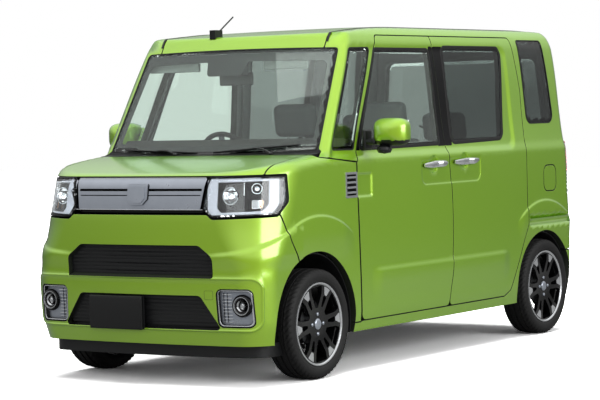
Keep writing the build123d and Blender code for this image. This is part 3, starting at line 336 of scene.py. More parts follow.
def bow(a, b, c, steps=12):
    """Points of the parabola from a to c that passes b."""
    a, b, c = (np.array(p, float) for p in (a, b, c))
    t = np.linspace(0, 1, steps + 1)[:, None]
    s = np.linalg.norm(b - a) / (np.linalg.norm(b - a) + np.linalg.norm(c - b))
    lift = (b - a - (c - a) * s) / (s * (1 - s)) * -1
    return [tuple(p) for p in a + (c - a) * t - lift * t * (1 - t)]


def circle(u, v, radius, low=0, high=360, steps=60):
    """Arc of a circle, (u + r cos a, v + r sin a), between two angles in degrees."""
    angle = np.radians(np.linspace(low, high, steps + 1))
    return np.stack((u + radius * np.cos(angle), v + radius * np.sin(angle)), axis=-1)


def within(points, rings):
    """Which flat points lie inside an odd number of rings."""
    inside = np.zeros(len(points), bool)
    for ring in rings:
        nxt = np.roll(ring, -1, axis=0)
        for start in range(0, len(points), 20000):
            p = points[start:start + 20000, None]
            across = (ring[:, 1] > p[..., 1]) != (nxt[:, 1] > p[..., 1])
            rise = np.where(nxt[:, 1] == ring[:, 1], 1e-9, nxt[:, 1] - ring[:, 1])
            cut = ring[:, 0] + (nxt[:, 0] - ring[:, 0]) / rise * (p[..., 1] - ring[:, 1])
            inside[start:start + 20000] ^= (np.sum(across & (p[..., 0] < cut), axis=1) % 2).astype(bool)
    return inside


def nearest(points, others):
    """Each flat point's distance to the nearest of others."""
    near = np.full(len(points), np.inf)
    for part in np.array_split(others, max(1, len(others) // 100)):
        apart = np.linalg.norm(points[:, None] - part[None], axis=2)
        near = np.minimum(near, apart.min(axis=1, initial=np.inf))
    return near


def triangulate(rings, spacing, lines=()):
    """Triangles that fill flat rings, the first the edge and the rest holes, with a grid of
    points inside. The given points come first and keep their order, and crossings come last."""
    fixed = np.concatenate([*rings, *lines])
    low, high = fixed.min(axis=0), fixed.max(axis=0)
    nu, nv = np.ceil((high - low) / spacing).astype(int) + 1
    gu, gv = np.meshgrid(np.linspace(low[0], high[0], nu), np.linspace(low[1], high[1], nv))
    gu[::2] += spacing / 4
    gu[1::2] -= spacing / 4
    grid = np.stack((gu.ravel(), gv.ravel()), axis=-1)
    grid = grid[within(grid, rings)]
    grid = grid[nearest(grid, fixed) > 0.5 * spacing]
    points = np.concatenate([fixed, grid])
    edges, start = [], 0
    for ring in rings:
        index = np.arange(start, start + len(ring))
        edges += list(zip(index.tolist(), np.roll(index, -1).tolist()))
        start += len(ring)
    for line in lines:
        index = np.arange(start, start + len(line)).tolist()
        edges += list(zip(index[:-1], index[1:]))
        start += len(line)
    made = delaunay_2d_cdt([Vector(p) for p in points], edges, [], 0, 1e-4)
    source = np.array([min(given, default=-1) for given in made[3]])
    crossing = np.array([tuple(p) for p in made[0]])[source < 0]
    source[source < 0] = len(points) + np.arange(len(crossing))
    flat = np.concatenate([points, crossing])
    faces = source[np.array(made[2])]
    return flat, faces[within(flat[faces].mean(axis=1), rings)]


# ---------------------------------------------------------------- meshes
def new_piece(name, rides, points, faces, materials, slots, normals=None, replaces=(), slot=None, sharp=35):
    """Mesh piece from points in millimetres, with a material number for each face."""
    mesh = bpy.data.meshes.new(name)
    mesh.from_pydata((np.asarray(points) * MM).tolist(), [], [tuple(map(int, f)) for f in faces])
    for material in materials:
        mesh.materials.append(material)
    mesh.polygons.foreach_set("material_index", np.asarray(slots, np.int32))
    mesh.polygons.foreach_set("use_smooth", np.ones(len(mesh.polygons), bool))
    if normals is not None:
        mesh.normals_split_custom_set_from_vertices(np.asarray(normals).tolist())
    else:
        mesh.set_sharp_from_angle(angle=math.radians(sharp))
    piece = bpy.data.objects.new(name, mesh)
    bpy.context.scene.collection.objects.link(piece)
    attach(piece, rides)
    if replaces:
        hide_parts(*replaces)
    return piece


def put(shape, name, rides, materials, replaces=None, **options):
    """Make a shape's piece. Where its name has an asterisk, which stands for the side, make the
    left one and its mirror image on the right."""
    for side in ("left", "right") if "*" in name else ("left",):
        nodes = [replaces.replace("*", side)] if replaces else ()
        shape.put(name.replace("*", side), rides.replace("*", side), materials, side == "right",
                  replaces=nodes, **options)


def ring_faces(a, b, count):
    """Quads between two rings of the same count, given their first points' numbers."""
    i = np.arange(count)
    j = np.roll(i, -1)
    return np.stack((a + i, a + j, b + j, b + i), axis=-1)


def edge_out(ring, n, view):
    """Unit directions along the surface that lead out of a closed ring."""
    away = np.cross(np.roll(ring, -1, axis=0) - np.roll(ring, 1, axis=0), n)
    away /= np.linalg.norm(away, axis=1, keepdims=True)
    return -away if flipped(view) else away


class Sheet:
    """Part of the body's surface, closed to a real thickness: a triangulated face, an edge rolled
    through a quarter circle, a wall and an inner face offset along the normals. rings are closed
    lines on the surface, the first the edge and the rest holes. view shows all of it. lines are
    further lines that its triangles follow."""

    def __init__(self, rings, view, thick=40, spacing=18, roll=EDGE_ROUND, gap=GAP, depth=0,
                 lines=(), hole_gap=None):
        view = looking(view) if not isinstance(view, str) else VIEWS.get(view, view)
        hole_gap = gap if hole_gap is None else hole_gap
        flats, solid = [], []
        for k, ring in enumerate(rings):
            flat = flatten(ring, view)
            nxt = np.roll(flat, -1, axis=0)
            area = np.sum(flat[:, 0] * nxt[:, 1] - flat[:, 1] * nxt[:, 0])
            if (area > 0) != (k == 0):
                ring = ring[::-1]
            away = edge_out(ring, outward(ring), view)
            ring = settled(ring - away * (roll + (gap if k == 0 else hole_gap)), depth)
            solid.append(ring)
            flats.append(flatten(ring, view))
        cuts = []
        for cut in lines:
            cut = settled(cut, depth)
            cut_flat = flatten(cut, view)
            keep = within(cut_flat, flats) & (nearest(cut_flat, np.concatenate(flats)) > 3.5)
            runs = np.split(np.arange(len(cut)), np.flatnonzero(np.diff(keep.astype(int))) + 1)
            cuts += [cut[run] for run in runs if keep[run[0]] and len(run) > 1]
        flat, faces = triangulate(flats, spacing, [flatten(cut, view) for cut in cuts])
        count = sum(len(r) for r in solid) + sum(len(c) for c in cuts)
        inner = place(flat[count:], view, depth) if len(flat) > count else np.zeros((0, 3))
        points = np.concatenate([*solid, *cuts, inner])
        n = outward(points)
        a, b, c = (points[faces[:, i]] for i in range(3))
        flip = np.sum(np.cross(b - a, c - a) * n[faces[:, 0]], axis=1) < 0
        faces[flip] = faces[flip][:, ::-1]
        all_points, all_faces, all_normals = [points], [faces], [n]
        total, first = len(points), 0
        floor = points - n * thick
        floor_n = -n.copy()
        outer = len(faces)
        kinds = [np.zeros(len(faces))]
        walls = []
        for ring in solid:
            size = len(ring)
            rn = n[first:first + size]
            away = edge_out(ring, rn, view)
            before = first
            for turn in np.radians((30, 60, 90)):
                rolled = away * roll * math.sin(turn) - rn * roll * (1 - math.cos(turn))
                all_points.append(ring + rolled)
                all_normals.append(rn * math.cos(turn) + away * math.sin(turn))
                quads = ring_faces(total, before, size)
                all_faces.append(quads[:, ::-1] if flipped(view) else quads)
                kinds.append(np.full(size, float(turn > 0.6)))
                before, total = total, total + size
            outer += 3 * size
            floor[first:first + size] = ring + away * roll - rn * thick
            floor_n[first:first + size] = away
            walls.append((before, first, size))
            first += size
        all_points.append(floor)
        all_normals.append(floor_n)
        for before, start, size in walls:
            kinds.append(np.ones(size))
            quads = ring_faces(total + start, before, size)
            all_faces.append(quads[:, ::-1] if flipped(view) else quads)
        back = faces[:, ::-1] + total
        self.points = np.concatenate(all_points)
        self.normals = np.concatenate(all_normals)
        self.faces = [tuple(f) for part in (*all_faces, back) for f in part.tolist()]
        self.slots = np.ones(len(self.faces), np.int32)
        self.slots[:outer] = 0
        # Faces in the gaps, which take the painted shade of an edge material
        self.gap_shade_faces = np.append(np.concatenate(kinds) > 0, np.zeros(len(back), bool))
        self.middles = np.array([self.points[list(f)].mean(axis=0) for f in self.faces[:outer]])

    def colour(self, test, slot):
        """Give the outer faces whose middles pass a test another material."""
        self.slots[:len(self.middles)][test(self.middles)] = slot
        return self

    def put(self, name, rides, materials, mirrored, edge=None, **options):
        """Make the piece, or its mirror image. An edge material goes on the walls of its gaps and the feet of
        its rolled edges, as painted shade that darkens the gaps."""
        slots, faces, sign = self.slots, self.faces, (1, 1, 1)
        # The edge material paints shade on the gap walls and the feet of the rolled edges.
        if edge is not None:
            slots, materials = np.where(self.gap_shade_faces, len(materials), slots), [*materials, edge]
        if mirrored:
            faces, sign = [f[::-1] for f in faces], (-1, 1, 1)
        return new_piece(name, rides, self.points * sign, faces, materials, slots, self.normals * sign,
                         **options)


def flipped(view):
    """Whether a view's flat picture is a mirror image of what is seen from outside."""
    if isinstance(view, str):
        return view == "tail"
    u, v, look = view
    return np.dot(np.cross(u, v), look) > 0


# ---------------------------------------------------------------- materials
def linear(code):
    """Linear RGBA from an sRGB hex code."""
    v = np.array([int(code[i:i + 2], 16) for i in (1, 3, 5)]) / 255
    return (*np.where(v <= 0.04045, v / 12.92, ((v + 0.055) / 1.055) ** 2.4).tolist(), 1)


def node(tree, kind, inputs=(), **settings):
    """Add a shader node, with its settings and its inputs by name or number. An input that is an
    output of another node is linked."""
    made = tree.nodes.new("ShaderNode" + kind)
    for key, value in settings.items():
        setattr(made, key, value)
    for key, value in dict(inputs).items():
        if isinstance(value, bpy.types.NodeSocket):
            tree.links.new(value, made.inputs[key])
        else:
            made.inputs[key].default_value = value
    return made


def material(name, colour, roughness, **shader):
    """Material with a Principled shader, and its tree and shader."""
    made = bpy.data.materials.new(name)
    made.use_nodes = True
    tree = made.node_tree
    principled = tree.nodes["Principled BSDF"]
    principled.inputs["Base Color"].default_value = linear(colour)
    principled.inputs["Roughness"].default_value = roughness
    for key, value in shader.items():
        principled.inputs[key.replace("_", " ")].default_value = value
    return made, tree, principled


def object_noise(tree, size_mm, detail=3):
    """Noise on object coordinates, with features of about a size in millimetres."""
    place_of = node(tree, "TexCoord").outputs["Object"]
    noise = node(tree, "TexNoise", {"Vector": place_of, "Scale": 1000 / size_mm, "Detail": detail})
    return noise.outputs["Fac"]


def mixed(tree, share, first, second):
    """Blend of two colours, which are hex codes or outputs, by a share."""
    mix = node(tree, "Mix", {0: share}, data_type="RGBA")
    for number, colour in ((6, first), (7, second)):
        if isinstance(colour, str):
            mix.inputs[number].default_value = linear(colour)
        else:
            tree.links.new(colour, mix.inputs[number])
    return mix.outputs[2]


FLAKE_MM, GRAIN_MM, HAZE_MM = 1.5, 1.6, 60


def painted_steel():
    """Sprayed metallic lacquer: aluminium flake under a clear coat, with a painted sheen in its colour: lighter
    green where the surface faces the camera and deeper green where it turns away."""
    made, tree, shader = material("lime_metallic_lacquer_painted_sheen", "#7DB32B", 0.36, Metallic=0.4, Coat_Weight=1,
                                  Coat_Roughness=0.15, Coat_IOR=1.8)
    facing = node(tree, "LayerWeight", {"Blend": 0.4}).outputs["Facing"]
    where = node(tree, "TexCoord").outputs["Object"]
    flake = node(tree, "TexVoronoi", {"Vector": where, "Scale": 1000 / FLAKE_MM})
    amount = node(tree, "MapRange", {"Value": flake.outputs["Color"], "From Min": 0.7, "To Max": 0.3})
    # Painted sheen: the base colour is lighter green where the surface faces the camera and deeper green at
    # grazing angles.
    green = mixed(tree, facing, "#ABD926", "#62A526")
    spark = mixed(tree, amount.outputs["Result"], green, "#B9DC5C")
    tree.links.new(spark, shader.inputs["Base Color"])
    return made


def two_tone(name, dark, light, size_mm, rough=(0.4, 0.55), grain_mm=0, **shader):
    """Material whose colour and roughness vary a little over a size, with a moulded or cast
    grain of a depth if there is one."""
    made, tree, principled = material(name, dark, rough[0], **shader)
    noise = object_noise(tree, size_mm)
    tree.links.new(mixed(tree, noise, dark, light), principled.inputs["Base Color"])
    spread = node(tree, "MapRange", {"Value": noise, "To Min": rough[0], "To Max": rough[1]})
    tree.links.new(spread.outputs["Result"], principled.inputs["Roughness"])
    if grain_mm:
        grain = object_noise(tree, GRAIN_MM, 2)
        bump = node(tree, "Bump", {"Height": grain, "Distance": grain_mm * MM, "Strength": 1})
        tree.links.new(bump.outputs["Normal"], principled.inputs["Normal"])
    return made


def glass(name, colour, roughness=0):
    """Clear solid that light passes through, a little hazed in patches."""
    made, tree, principled = material(name, colour, roughness, IOR=1.5, Transmission_Weight=1)
    haze = object_noise(tree, HAZE_MM)
    spread = node(tree, "MapRange", {"Value": haze, "To Min": 0, "To Max": 0.02 + roughness})
    tree.links.new(spread.outputs["Result"], principled.inputs["Roughness"])
    return made


# Each comment says what the eye gets from the material.
PAINT = painted_steel()
# Pale dull plastic on the inside of the doors, a shade lighter than the cabin
INNER = two_tone("moulded_grey_door_trim", "#6B7070", "#767B7A", 40, (0.5, 0.6))
# Near-black plastic with a fine leather grain that breaks up highlights
GRAINED = two_tone("grained_polypropylene", "#101112", "#17181A", 8, (0.5, 0.62), 0.12)
# Deep black that mirrors the room softly
GLOSS_BLACK = two_tone("gloss_black_abs", "#060607", "#0B0C0D", 60, (0.12, 0.2), Specular_IOR_Level=0.25)
# Black with a soft sheen, on handles and wipers
SATIN_BLACK = two_tone("satin_black_trim", "#101112", "#191A1B", 20, (0.35, 0.45), 0.05)
# Flat black with no highlight, which outlines the glass
RUBBER_SEAL = two_tone("extruded_rubber_seal", "#0D0D0D", "#141414", 6, (0.55, 0.7))
# Bright plating with sharp reflections
CHROME = two_tone("chromed_abs", "#E4E7E9", "#D9DCDF", 80, (0.1, 0.16), Metallic=0.75)
# Cool grey metal look with blurred reflections, on the grille bar
SATIN_SILVER = two_tone("satin_silver_plate", "#B4BAC4", "#A6ADB8", 50, (0.25, 0.33), Metallic=0.55)
# Faint green in the windscreen and front windows
CLEAR_GLASS = glass("green_tinted_glass", "#E3EFE8")
# Smoky glass that hides most of the rear cabin
PRIVACY_GLASS = glass("privacy_glass", "#7A8380")
# Colourless cover that lets the lamp's parts show
LENS = glass("clear_polycarbonate_lens", "#F2F6F7")
# Saturated red that glows where light passes
RED_LENS = glass("red_acrylic_lens", "#E03038", 0.05)
# Warm orange spark in the corner of the headlamp
AMBER_LENS = two_tone("amber_acrylic_block", "#D98A3A", "#E8A65A", 9, (0.1, 0.16), Coat_Weight=1)
# Broken bright reflections deep in the lamps
REFLECTOR = two_tone("vacuum_metallised_bowl", "#E4E6E8", "#D5D8DA", 12, (0.1, 0.2), Metallic=1)
# Dusty dark grey without gloss
TYRE_RUBBER = two_tone("vulcanised_tyre_rubber", "#0C0C0C", "#141414", 15, (0.6, 0.78), 0.1)
# Black spokes with a clear highlight along their edges
BLACK_ALLOY = two_tone("gloss_black_cast_alloy", "#070708", "#0D0E0F", 30, (0.16, 0.24), Coat_Weight=0.3)
# Bright turned metal on the rim's lip and spoke tips
BRIGHT_ALLOY = two_tone("diamond_cut_alloy", "#E2E4E6", "#CFD2D5", 10, (0.2, 0.3), Metallic=0.6)
# Mid-grey bare metal, uneven in gloss
BARE_STEEL = two_tone("machined_steel", "#8E9092", "#77797B", 6, (0.25, 0.4), Metallic=1)
# Rough charcoal coat under the car
UNDERSEAL = two_tone("sprayed_underseal", "#1E1F20", "#2A2B2C", 5, (0.7, 0.85), 0.4)
# Warm dark grey with a soft pebbled skin
DASH_SKIN = two_tone("slush_moulded_dashboard_skin", "#2B2A29", "#343230", 5, (0.55, 0.7), 0.15)
# Light felt-like grey overhead
CABIN_PLASTIC = two_tone("grey_headlining", "#8D9090", "#989B9A", 10, (0.7, 0.85), 0.2)
# Milky white frame round the headlamp's inside
LIGHT_GUIDE = two_tone("frosted_light_guide", "#B4B7C2", "#C6C9D3", 14, (0.3, 0.4), Coat_Weight=0.3)
# Dark bluish grey between the bright parts of the lamp
LAMP_GREY = two_tone("fluted_grey_reflector", "#262A2F", "#353A40", 3, (0.3, 0.4), Specular_IOR_Level=0.25)
# Painted shade: dark green-black on the walls of the gaps and the feet of the rolled edges instead of paint, so
# that each shut line reads as a thin dark line
GAP_PAINTED_SHADE = two_tone("painted_gap_shade", "#151A10", "#1D2416", 12, (0.7, 0.8))
# Mottled grey weave
SEAT_CLOTH = two_tone("woven_seat_cloth", "#4B504F", "#5F6564", 2.2, (0.85, 0.95), 0.35)
# Darker band under the seats
SEAT_PIPING = two_tone("stitched_seat_piping", "#2C2E2E", "#383B3A", 3, (0.7, 0.8), 0.2)
# True mirror
MIRROR_GLASS = two_tone("silvered_mirror_glass", "#E9ECEE", "#E2E6E8", 90, (0.01, 0.03), Metallic=1)
# Opaque dark edge baked on the windscreen
FRIT = two_tone("ceramic_frit_band", "#1B1C1E", "#26282A", 4, (0.25, 0.4))
# Plain dark plate without characters
BLANK_PLATE = two_tone("blank_black_plate", "#0A0B0B", "#101112", 12, (0.45, 0.6), 0.08)
# Red blocks that stay bright behind the lens
RED_ELEMENTS = two_tone("lit_red_elements", "#B0121C", "#D02A30", 5, (0.2, 0.3))


# ---------------------------------------------------------------- outlines of the panels
def line(*rows):
    """Open line with rounded corners, from rows of (u, v, corner radius)."""
    points = np.array([row[:2] for row in rows], float)
    out = [points[0]]
    for i, row in enumerate(rows[1:-1], 1):
        out += corner(points[i - 1], points[i], points[i + 1], row[2] if len(row) > 2 else 0)
    return np.array(out + [points[-1]])


def seen(source, target, *points):
    """Where points of one view are in another."""
    return [tuple(p) for p in flatten(place(points, source), target)]


PANEL_SPACING = 9
BONNET_EDGE_X = 659.5


def side_ring(rows):
    """Closed line on the left side from its outline in side view."""
    return drawn(("side", rows), spacing=PANEL_SPACING)


SPLIT = bow((162, 262), (213, 678), (187, 1094))
FRONT_DOOR = loop(
    (-742, 262, 40), (162, 262, 30), *SPLIT[1:], (150, 1752, 8),
    (-416, 1752, 30), (-769, 1083, 12),
)
DOOR_ARCH = bow((868, 292), (972, 452), (1085, 660))
SLIDING_DOOR = loop(
    (162, 262, 30), (800, 262, 20), *DOOR_ARCH, (1086, 1095), (1100, 1447),
    (1060, 1752, 30), (150, 1752, 8), *SPLIT[:0:-1],
)
FRONT_WINDOW = loop((-704, 1152, 14), (126, 1158, 20), (112, 1678, 24),
                    (-452, 1678, 24))
SLIDING_WINDOW = loop((262, 1160, 36), (850, 1170, 60), (925, 1690, 44),
                      (250, 1690, 36))
FRONT_QUARTER = loop((-976, 1156, 18), (-764, 1153, 18), (-496, 1684, 14),
                     (-700, 1680, 24))
REAR_QUARTER = loop((1142, 1250, 50), (1478, 1250, 60), (1440, 1738, 20),
                    (1138, 1738, 20))
FLAP = loop((1292, 844, 46), (1450, 844, 46), (1450, 1000, 46), (1292, 1000, 46))


def body_side_ring():
    """Outer edge of a body side: along the sill, over the rear arch, up the tailgate's edge,
    forward along the roof, down the windscreen's edge, then back round both door openings."""
    lamp_low, lamp_high = seen("back", "tail", (643.5, 822), (643.5, 1142))
    side_low, side_high = seen("side", "tail", (1598, 822), (1598, 1142))
    hinge_y = flatten(place([(583.5, 1740)], "back"), "top")[0, 1]
    return drawn(
        ("side", [(-814, 206), (964, 206)]),
        ("side", circle(*REAR_ARCH, 191.8, 38.2)),
        ("tail", seen("side", "tail", (1562, 484)) + seen("back", "tail", (650, 484))),
        ("back", [(643.5, 490), (643.5, 816)]),
        ("tail", [lamp_low, side_low, side_high, lamp_high]),
        ("back", [(643.5, 1150), (591.5, 1681), (583.5, 1740)]),
        ("top", line((583, hinge_y - 8), (579, 1553.5, 12), (532, 1553.5, 3), (532, -690))),
        ("front", [(532, 1742), (532, 1690)]),
        ("front", line((538, 1685), (615, 1682, 18), (667, 1161, 20), (684, 1150))),
        ("side", [(-1098, 1124.5), (-773, 1090)]),
        ("side", line(
            (-766, 1090), (-416, 1752, 30), (1060, 1752, 30), (1100, 1447),
            (1086, 1095), *DOOR_ARCH[::-1], (800, 262, 20), (-743, 262, 4), (-747, 256),
            (-800, 256),
        )),
        ("side", circle(*FRONT_ARCH, -4.6, -12.6, 6)),
        spacing=PANEL_SPACING,
    )


def wing_ring():
    """Edge of the left wing: arch, door line, bonnet line, lamp and bumper."""
    return drawn(
        ("side", circle(*FRONT_ARCH, 116.6, -4.6)),
        ("side", [(-800, 257), (-748, 257), (-775, 1088), (-1105, 1124)]),
        ("top", [(BONNET_EDGE_X, -1118), (BONNET_EDGE_X, -1503)]),
        ("nose", seen("front", "nose", (664, 1048.5)) + seen("side", "nose", (-1404, 1049))),
        ("side", line((-1399, 1045), (-1399, 916, 16), (-1466, 859, 6),
                      (-1409, 723, 60), (-1333, 615))),
        spacing=PANEL_SPACING,
    )


def bonnet_ring():
    """Edge of the bonnet: nose line, both sides and the hinge line."""
    end_u, end_z = seen("front", "nose", (656, 1048.5))[0]
    return drawn(
        ("nose", [(-end_u, end_z), (end_u, end_z)]),
        ("top", line((BONNET_EDGE_X, -1503), (BONNET_EDGE_X, -1116, 20), (-BONNET_EDGE_X, -1116, 20),
                     (-BONNET_EDGE_X, -1503))),
        spacing=PANEL_SPACING,
    )


def headlamp_ring():
    """Edge of the left headlamp, which turns the corner of the nose."""
    foot, back, top = seen("side", "nose", (-1478, 848), (-1403, 914), (-1403, 1045))
    return drawn(
        ("front", line((421, 1044), (394, 883, 30), (451, 839, 30), (600, 843))),
        ("nose", line(*seen("front", "nose", (606, 843)), (*foot, 16), (*back, 14), (*top, 12),
                      *seen("front", "nose", (427, 1047)))),
        spacing=6,
    )


def bumper_ring():
    """Outer edge of the front bumper: its left half, then the same the other way."""
    points = drawn(
        ("side", circle(*FRONT_ARCH, 192.6, 117)),
        ("side", line((-1334, 613), (-1410, 723, 60), (-1467, 857, 4), (-1476, 848))),
        ("nose", seen("side", "nose", (-1483, 845)) + seen("front", "nose", (600, 841))),
        ("front", line((594, 841), (451, 837, 26), (424, 861, 10), (400, 861))),
        spacing=8,
    )
    (low_u, low_z), (top_u, top_z) = flatten(points[[0, -1]], "nose")
    bottom = place(dense([(-low_u, low_z), (low_u, low_z)], 9)[1:-1], "nose")
    top = place(dense([(top_u, top_z), (-top_u, top_z)], 9)[1:-1], "nose")
    return np.concatenate([bottom, points, top, points[::-1] * (-1, 1, 1)])


UPPER_OPENING = loop(
    (-455, 546, 12), (455, 546, 12), (455, 646, 40), (372, 706, 40), (-372, 706, 40),
    (-455, 646, 40),
)
LOWER_OPENING = loop((-495, 291, 14), (495, 291, 14), (376, 458, 34), (-376, 458, 34))
FOG_HOLE = loop((476, 304, 30), (674, 304, 30), (668, 494, 30), (470, 494, 30))
GRILLE = loop((-386, 882, 14), (386, 882, 14), (410, 1041, 10), (-410, 1041, 10))
TAILGATE_GLASS = loop((-575, 1130, 50), (575, 1130, 50), (525, 1640, 50), (-525, 1640, 50))
WINDSCREEN = loop(
    *bow((-667, 1161), (0, 1141.5), (667, 1161), 24)[:-1], (667, 1161, 24), (615, 1682, 24),
    *bow((600, 1682.4), (0, 1691), (-600, 1682.4), 24), (-615, 1682, 24),
)


def tailgate_ring():
    """Edge of the tailgate, which runs over on to the roof."""
    hinge = flatten(place([(580, 1740)], "back"), "top")[0, 1]
    return drawn(
        ("back", line((580, 1740), (588, 1681), (640, 1150), (640, 487, 12),
                      (-640, 487, 12), (-640, 1150), (-588, 1681), (-580, 1740))),
        ("top", line((-579, hinge - 8), (-577, 1556, 12), (577, 1556, 12), (579, hinge - 8))),
        spacing=PANEL_SPACING,
    )


def roof_ring():
    """Edge of the roof panel between its two ditches."""
    return drawn(
        ("top", [(530.5, -690), (530.5, 1551), (-530.5, 1551), (-530.5, -690)]),
        ("front", [(-530.5, 1742), (-530.5, 1692)]),
        ("front", bow((-524, 1685), (0, 1691), (524, 1685), 20)),
        ("front", [(530.5, 1692), (530.5, 1742)]),
        spacing=PANEL_SPACING,
    )


def rear_bumper_ring():
    """Edge of the rear bumper: its left end, then the same the other way."""
    points = drawn(("side", circle(*REAR_ARCH, -12, 37.7)), spacing=8)
    flat = flatten(points, "tail")
    top = place(dense(np.array([flat[-1], (-flat[-1][0], 482)]), 9)[1:-1], "tail")
    bottom = place(dense(np.array([(-flat[0][0], 207), flat[0]]), 9)[1:-1], "tail")
    return np.concatenate([points, top, points[::-1] * (-1, 1, 1), bottom])


def tail_lamp_ring():
    """Edge of the left tail lamp."""
    inner_low, inner_high = seen("back", "tail", (646, 824), (646, 1140))
    side_low, side_high = seen("side", "tail", (1600, 824), (1600, 1140))
    edge = line(inner_low, inner_high, (*side_high, 10), (*side_low, 10), inner_low)
    return drawn(("tail", edge), spacing=7)


# Lines that triangles follow, along the edges of pressed forms
def over_arch(flare, low, high):
    """Arcs at the foot, middle and top of a flare's step."""
    y, z, start, end = flare
    return [place(circle(y, z, r, low, high, 70), "side") for r in (start, (start + end) / 2, end)]


def round_panel(panel, view, *steps):
    """Closed lines round a pressed rectangle, grown by steps."""
    left, right, low, high, radius = panel
    out = []
    for grow in steps:
        a, b, c, d, r = left - grow, right + grow, low - grow, high + grow, radius + grow
        flat = loop((a, c, r), (b, c, r), (b, d, r), (a, d, r))
        out.append(place(dense(flat, 11), view))
    return out


def level(view, u0, u1, *heights, spacing=12):
    """Lines that are level in a view, one at each height."""
    return [place(dense([(u0, v), (u1, v)], spacing), view) for v in heights]


def window_recess_lines():
    """Lines along the recess round the side windows: the foot of its slope, the middle and the top."""
    front_y, front_z, lean = WINDOW_RECESS_FRONT
    _, right, low, high, radius = WINDOW_RECESS
    out = []
    for step in (0, 14, 30, 44):
        top_y = front_y + (high - step - front_z) * lean + step / WINDOW_LEAN_COS
        low_y = front_y + (low + step - front_z) * lean + step / WINDOW_LEAN_COS
        flat = line((top_y, high - step), (low_y, low + step, 40),
                    (right - step, low + step, radius - step * 0.6), (right - step, high - step))
        out.append(place(dense(flat, 11), "side"))
    return out


# Heights of the black window frames of the doors, and the edges of the foot's step
FRAME_LOW, FRAME_HIGH = 1146, 1694
FOOT_HEIGHTS = (500, 520, 541)
RECESS_LINES = window_recess_lines()
BOWL_LINES = [place(circle(y, z, r, steps=40), "side") for y, z in GRIP_BOWLS for r in (30, *BOWL_R, 44)]
PANEL_LINES = RECESS_LINES + round_panel(GRIP_PANEL, "side", -7, 0, 6) + BOWL_LINES
WING_LINES = over_arch(FLARE, 50, 128) + RECESS_LINES
DOOR_LINES = level("side", -735, 150, *FOOT_HEIGHTS) + RECESS_LINES
DOOR_LINES += round_panel(GRIP_PANEL, "side", -7, 0, 6)
DOOR_LINES += round_panel(GARNISH_RECESS, "side", 0, -10, -20) + BOWL_LINES
DOOR_LINES += level("side", -728, 182, FRAME_LOW) + level("side", -436, 150, FRAME_HIGH)
SLIDING_LINES = level("side", 215, 880, *FOOT_HEIGHTS) + PANEL_LINES + over_arch(QUARTER_FLARE, 90, 140)
SLIDING_LINES += level("side", 188, 262, FRAME_LOW) + level("side", 156, 300, FRAME_HIGH)
SLIDING_LINES += [place(dense([(262, 1152), (250, 1688)], 11), "side")]
QUARTER_LINES = over_arch(QUARTER_FLARE, 44, 130) + RECESS_LINES
QUARTER_LINES += level("side", 1103, 1612, 650, 655, 687, 692)
BULGE_LINES = [place(dense([(u, parabola(BULGE_LINE, u) + up) for u in range(390, 830, 12)], 12), "nose")
               for up in (-24, -9, 6)]
NOSE_LINES = round_panel(NOSE_FRAME, "nose", -10, -5, 0, 5, 10) + BULGE_LINES
NOSE_LINES += [cut * (-1, 1, 1) for cut in BULGE_LINES]
PLATE_LINES = round_panel(PLATE_RECESS, "back", -14, -3, 8)
SIDE_LOOK = (-0.72, -0.33, -0.6)
front_door_ring, front_window_ring = side_ring(FRONT_DOOR), side_ring(FRONT_WINDOW)
sliding_door_ring, sliding_window_ring = side_ring(SLIDING_DOOR), side_ring(SLIDING_WINDOW)
front_quarter_ring, rear_quarter_ring = side_ring(FRONT_QUARTER), side_ring(REAR_QUARTER)
flap_ring = side_ring(FLAP)
windscreen_ring = drawn(("front", WINDSCREEN), spacing=PANEL_SPACING)
tailgate_glass_ring = drawn(("back", TAILGATE_GLASS), spacing=PANEL_SPACING)
lamp_ring = headlamp_ring()
upper_ring, lower_ring, fog_ring, grille_ring = (
    drawn(("front", ring), spacing=8) for ring in (UPPER_OPENING, LOWER_OPENING, FOG_HOLE, GRILLE)
)
PILLAR_EDGES = (112, 258)
FRAME_FRONT = (-704, 1152, 0.479)               # y at a height, and its lean


def in_frame(p):
    """Parts of the doors that are finished gloss black, between and ahead of the windows."""
    y, z = p[:, 1], p[:, 2]
    front_y, front_z, lean = FRAME_FRONT
    ahead = y < front_y + (z - front_z) * lean
    pillar = (y > PILLAR_EDGES[0]) & (y < PILLAR_EDGES[1])
    return (z > FRAME_LOW) & (z < FRAME_HIGH) & (ahead | pillar)


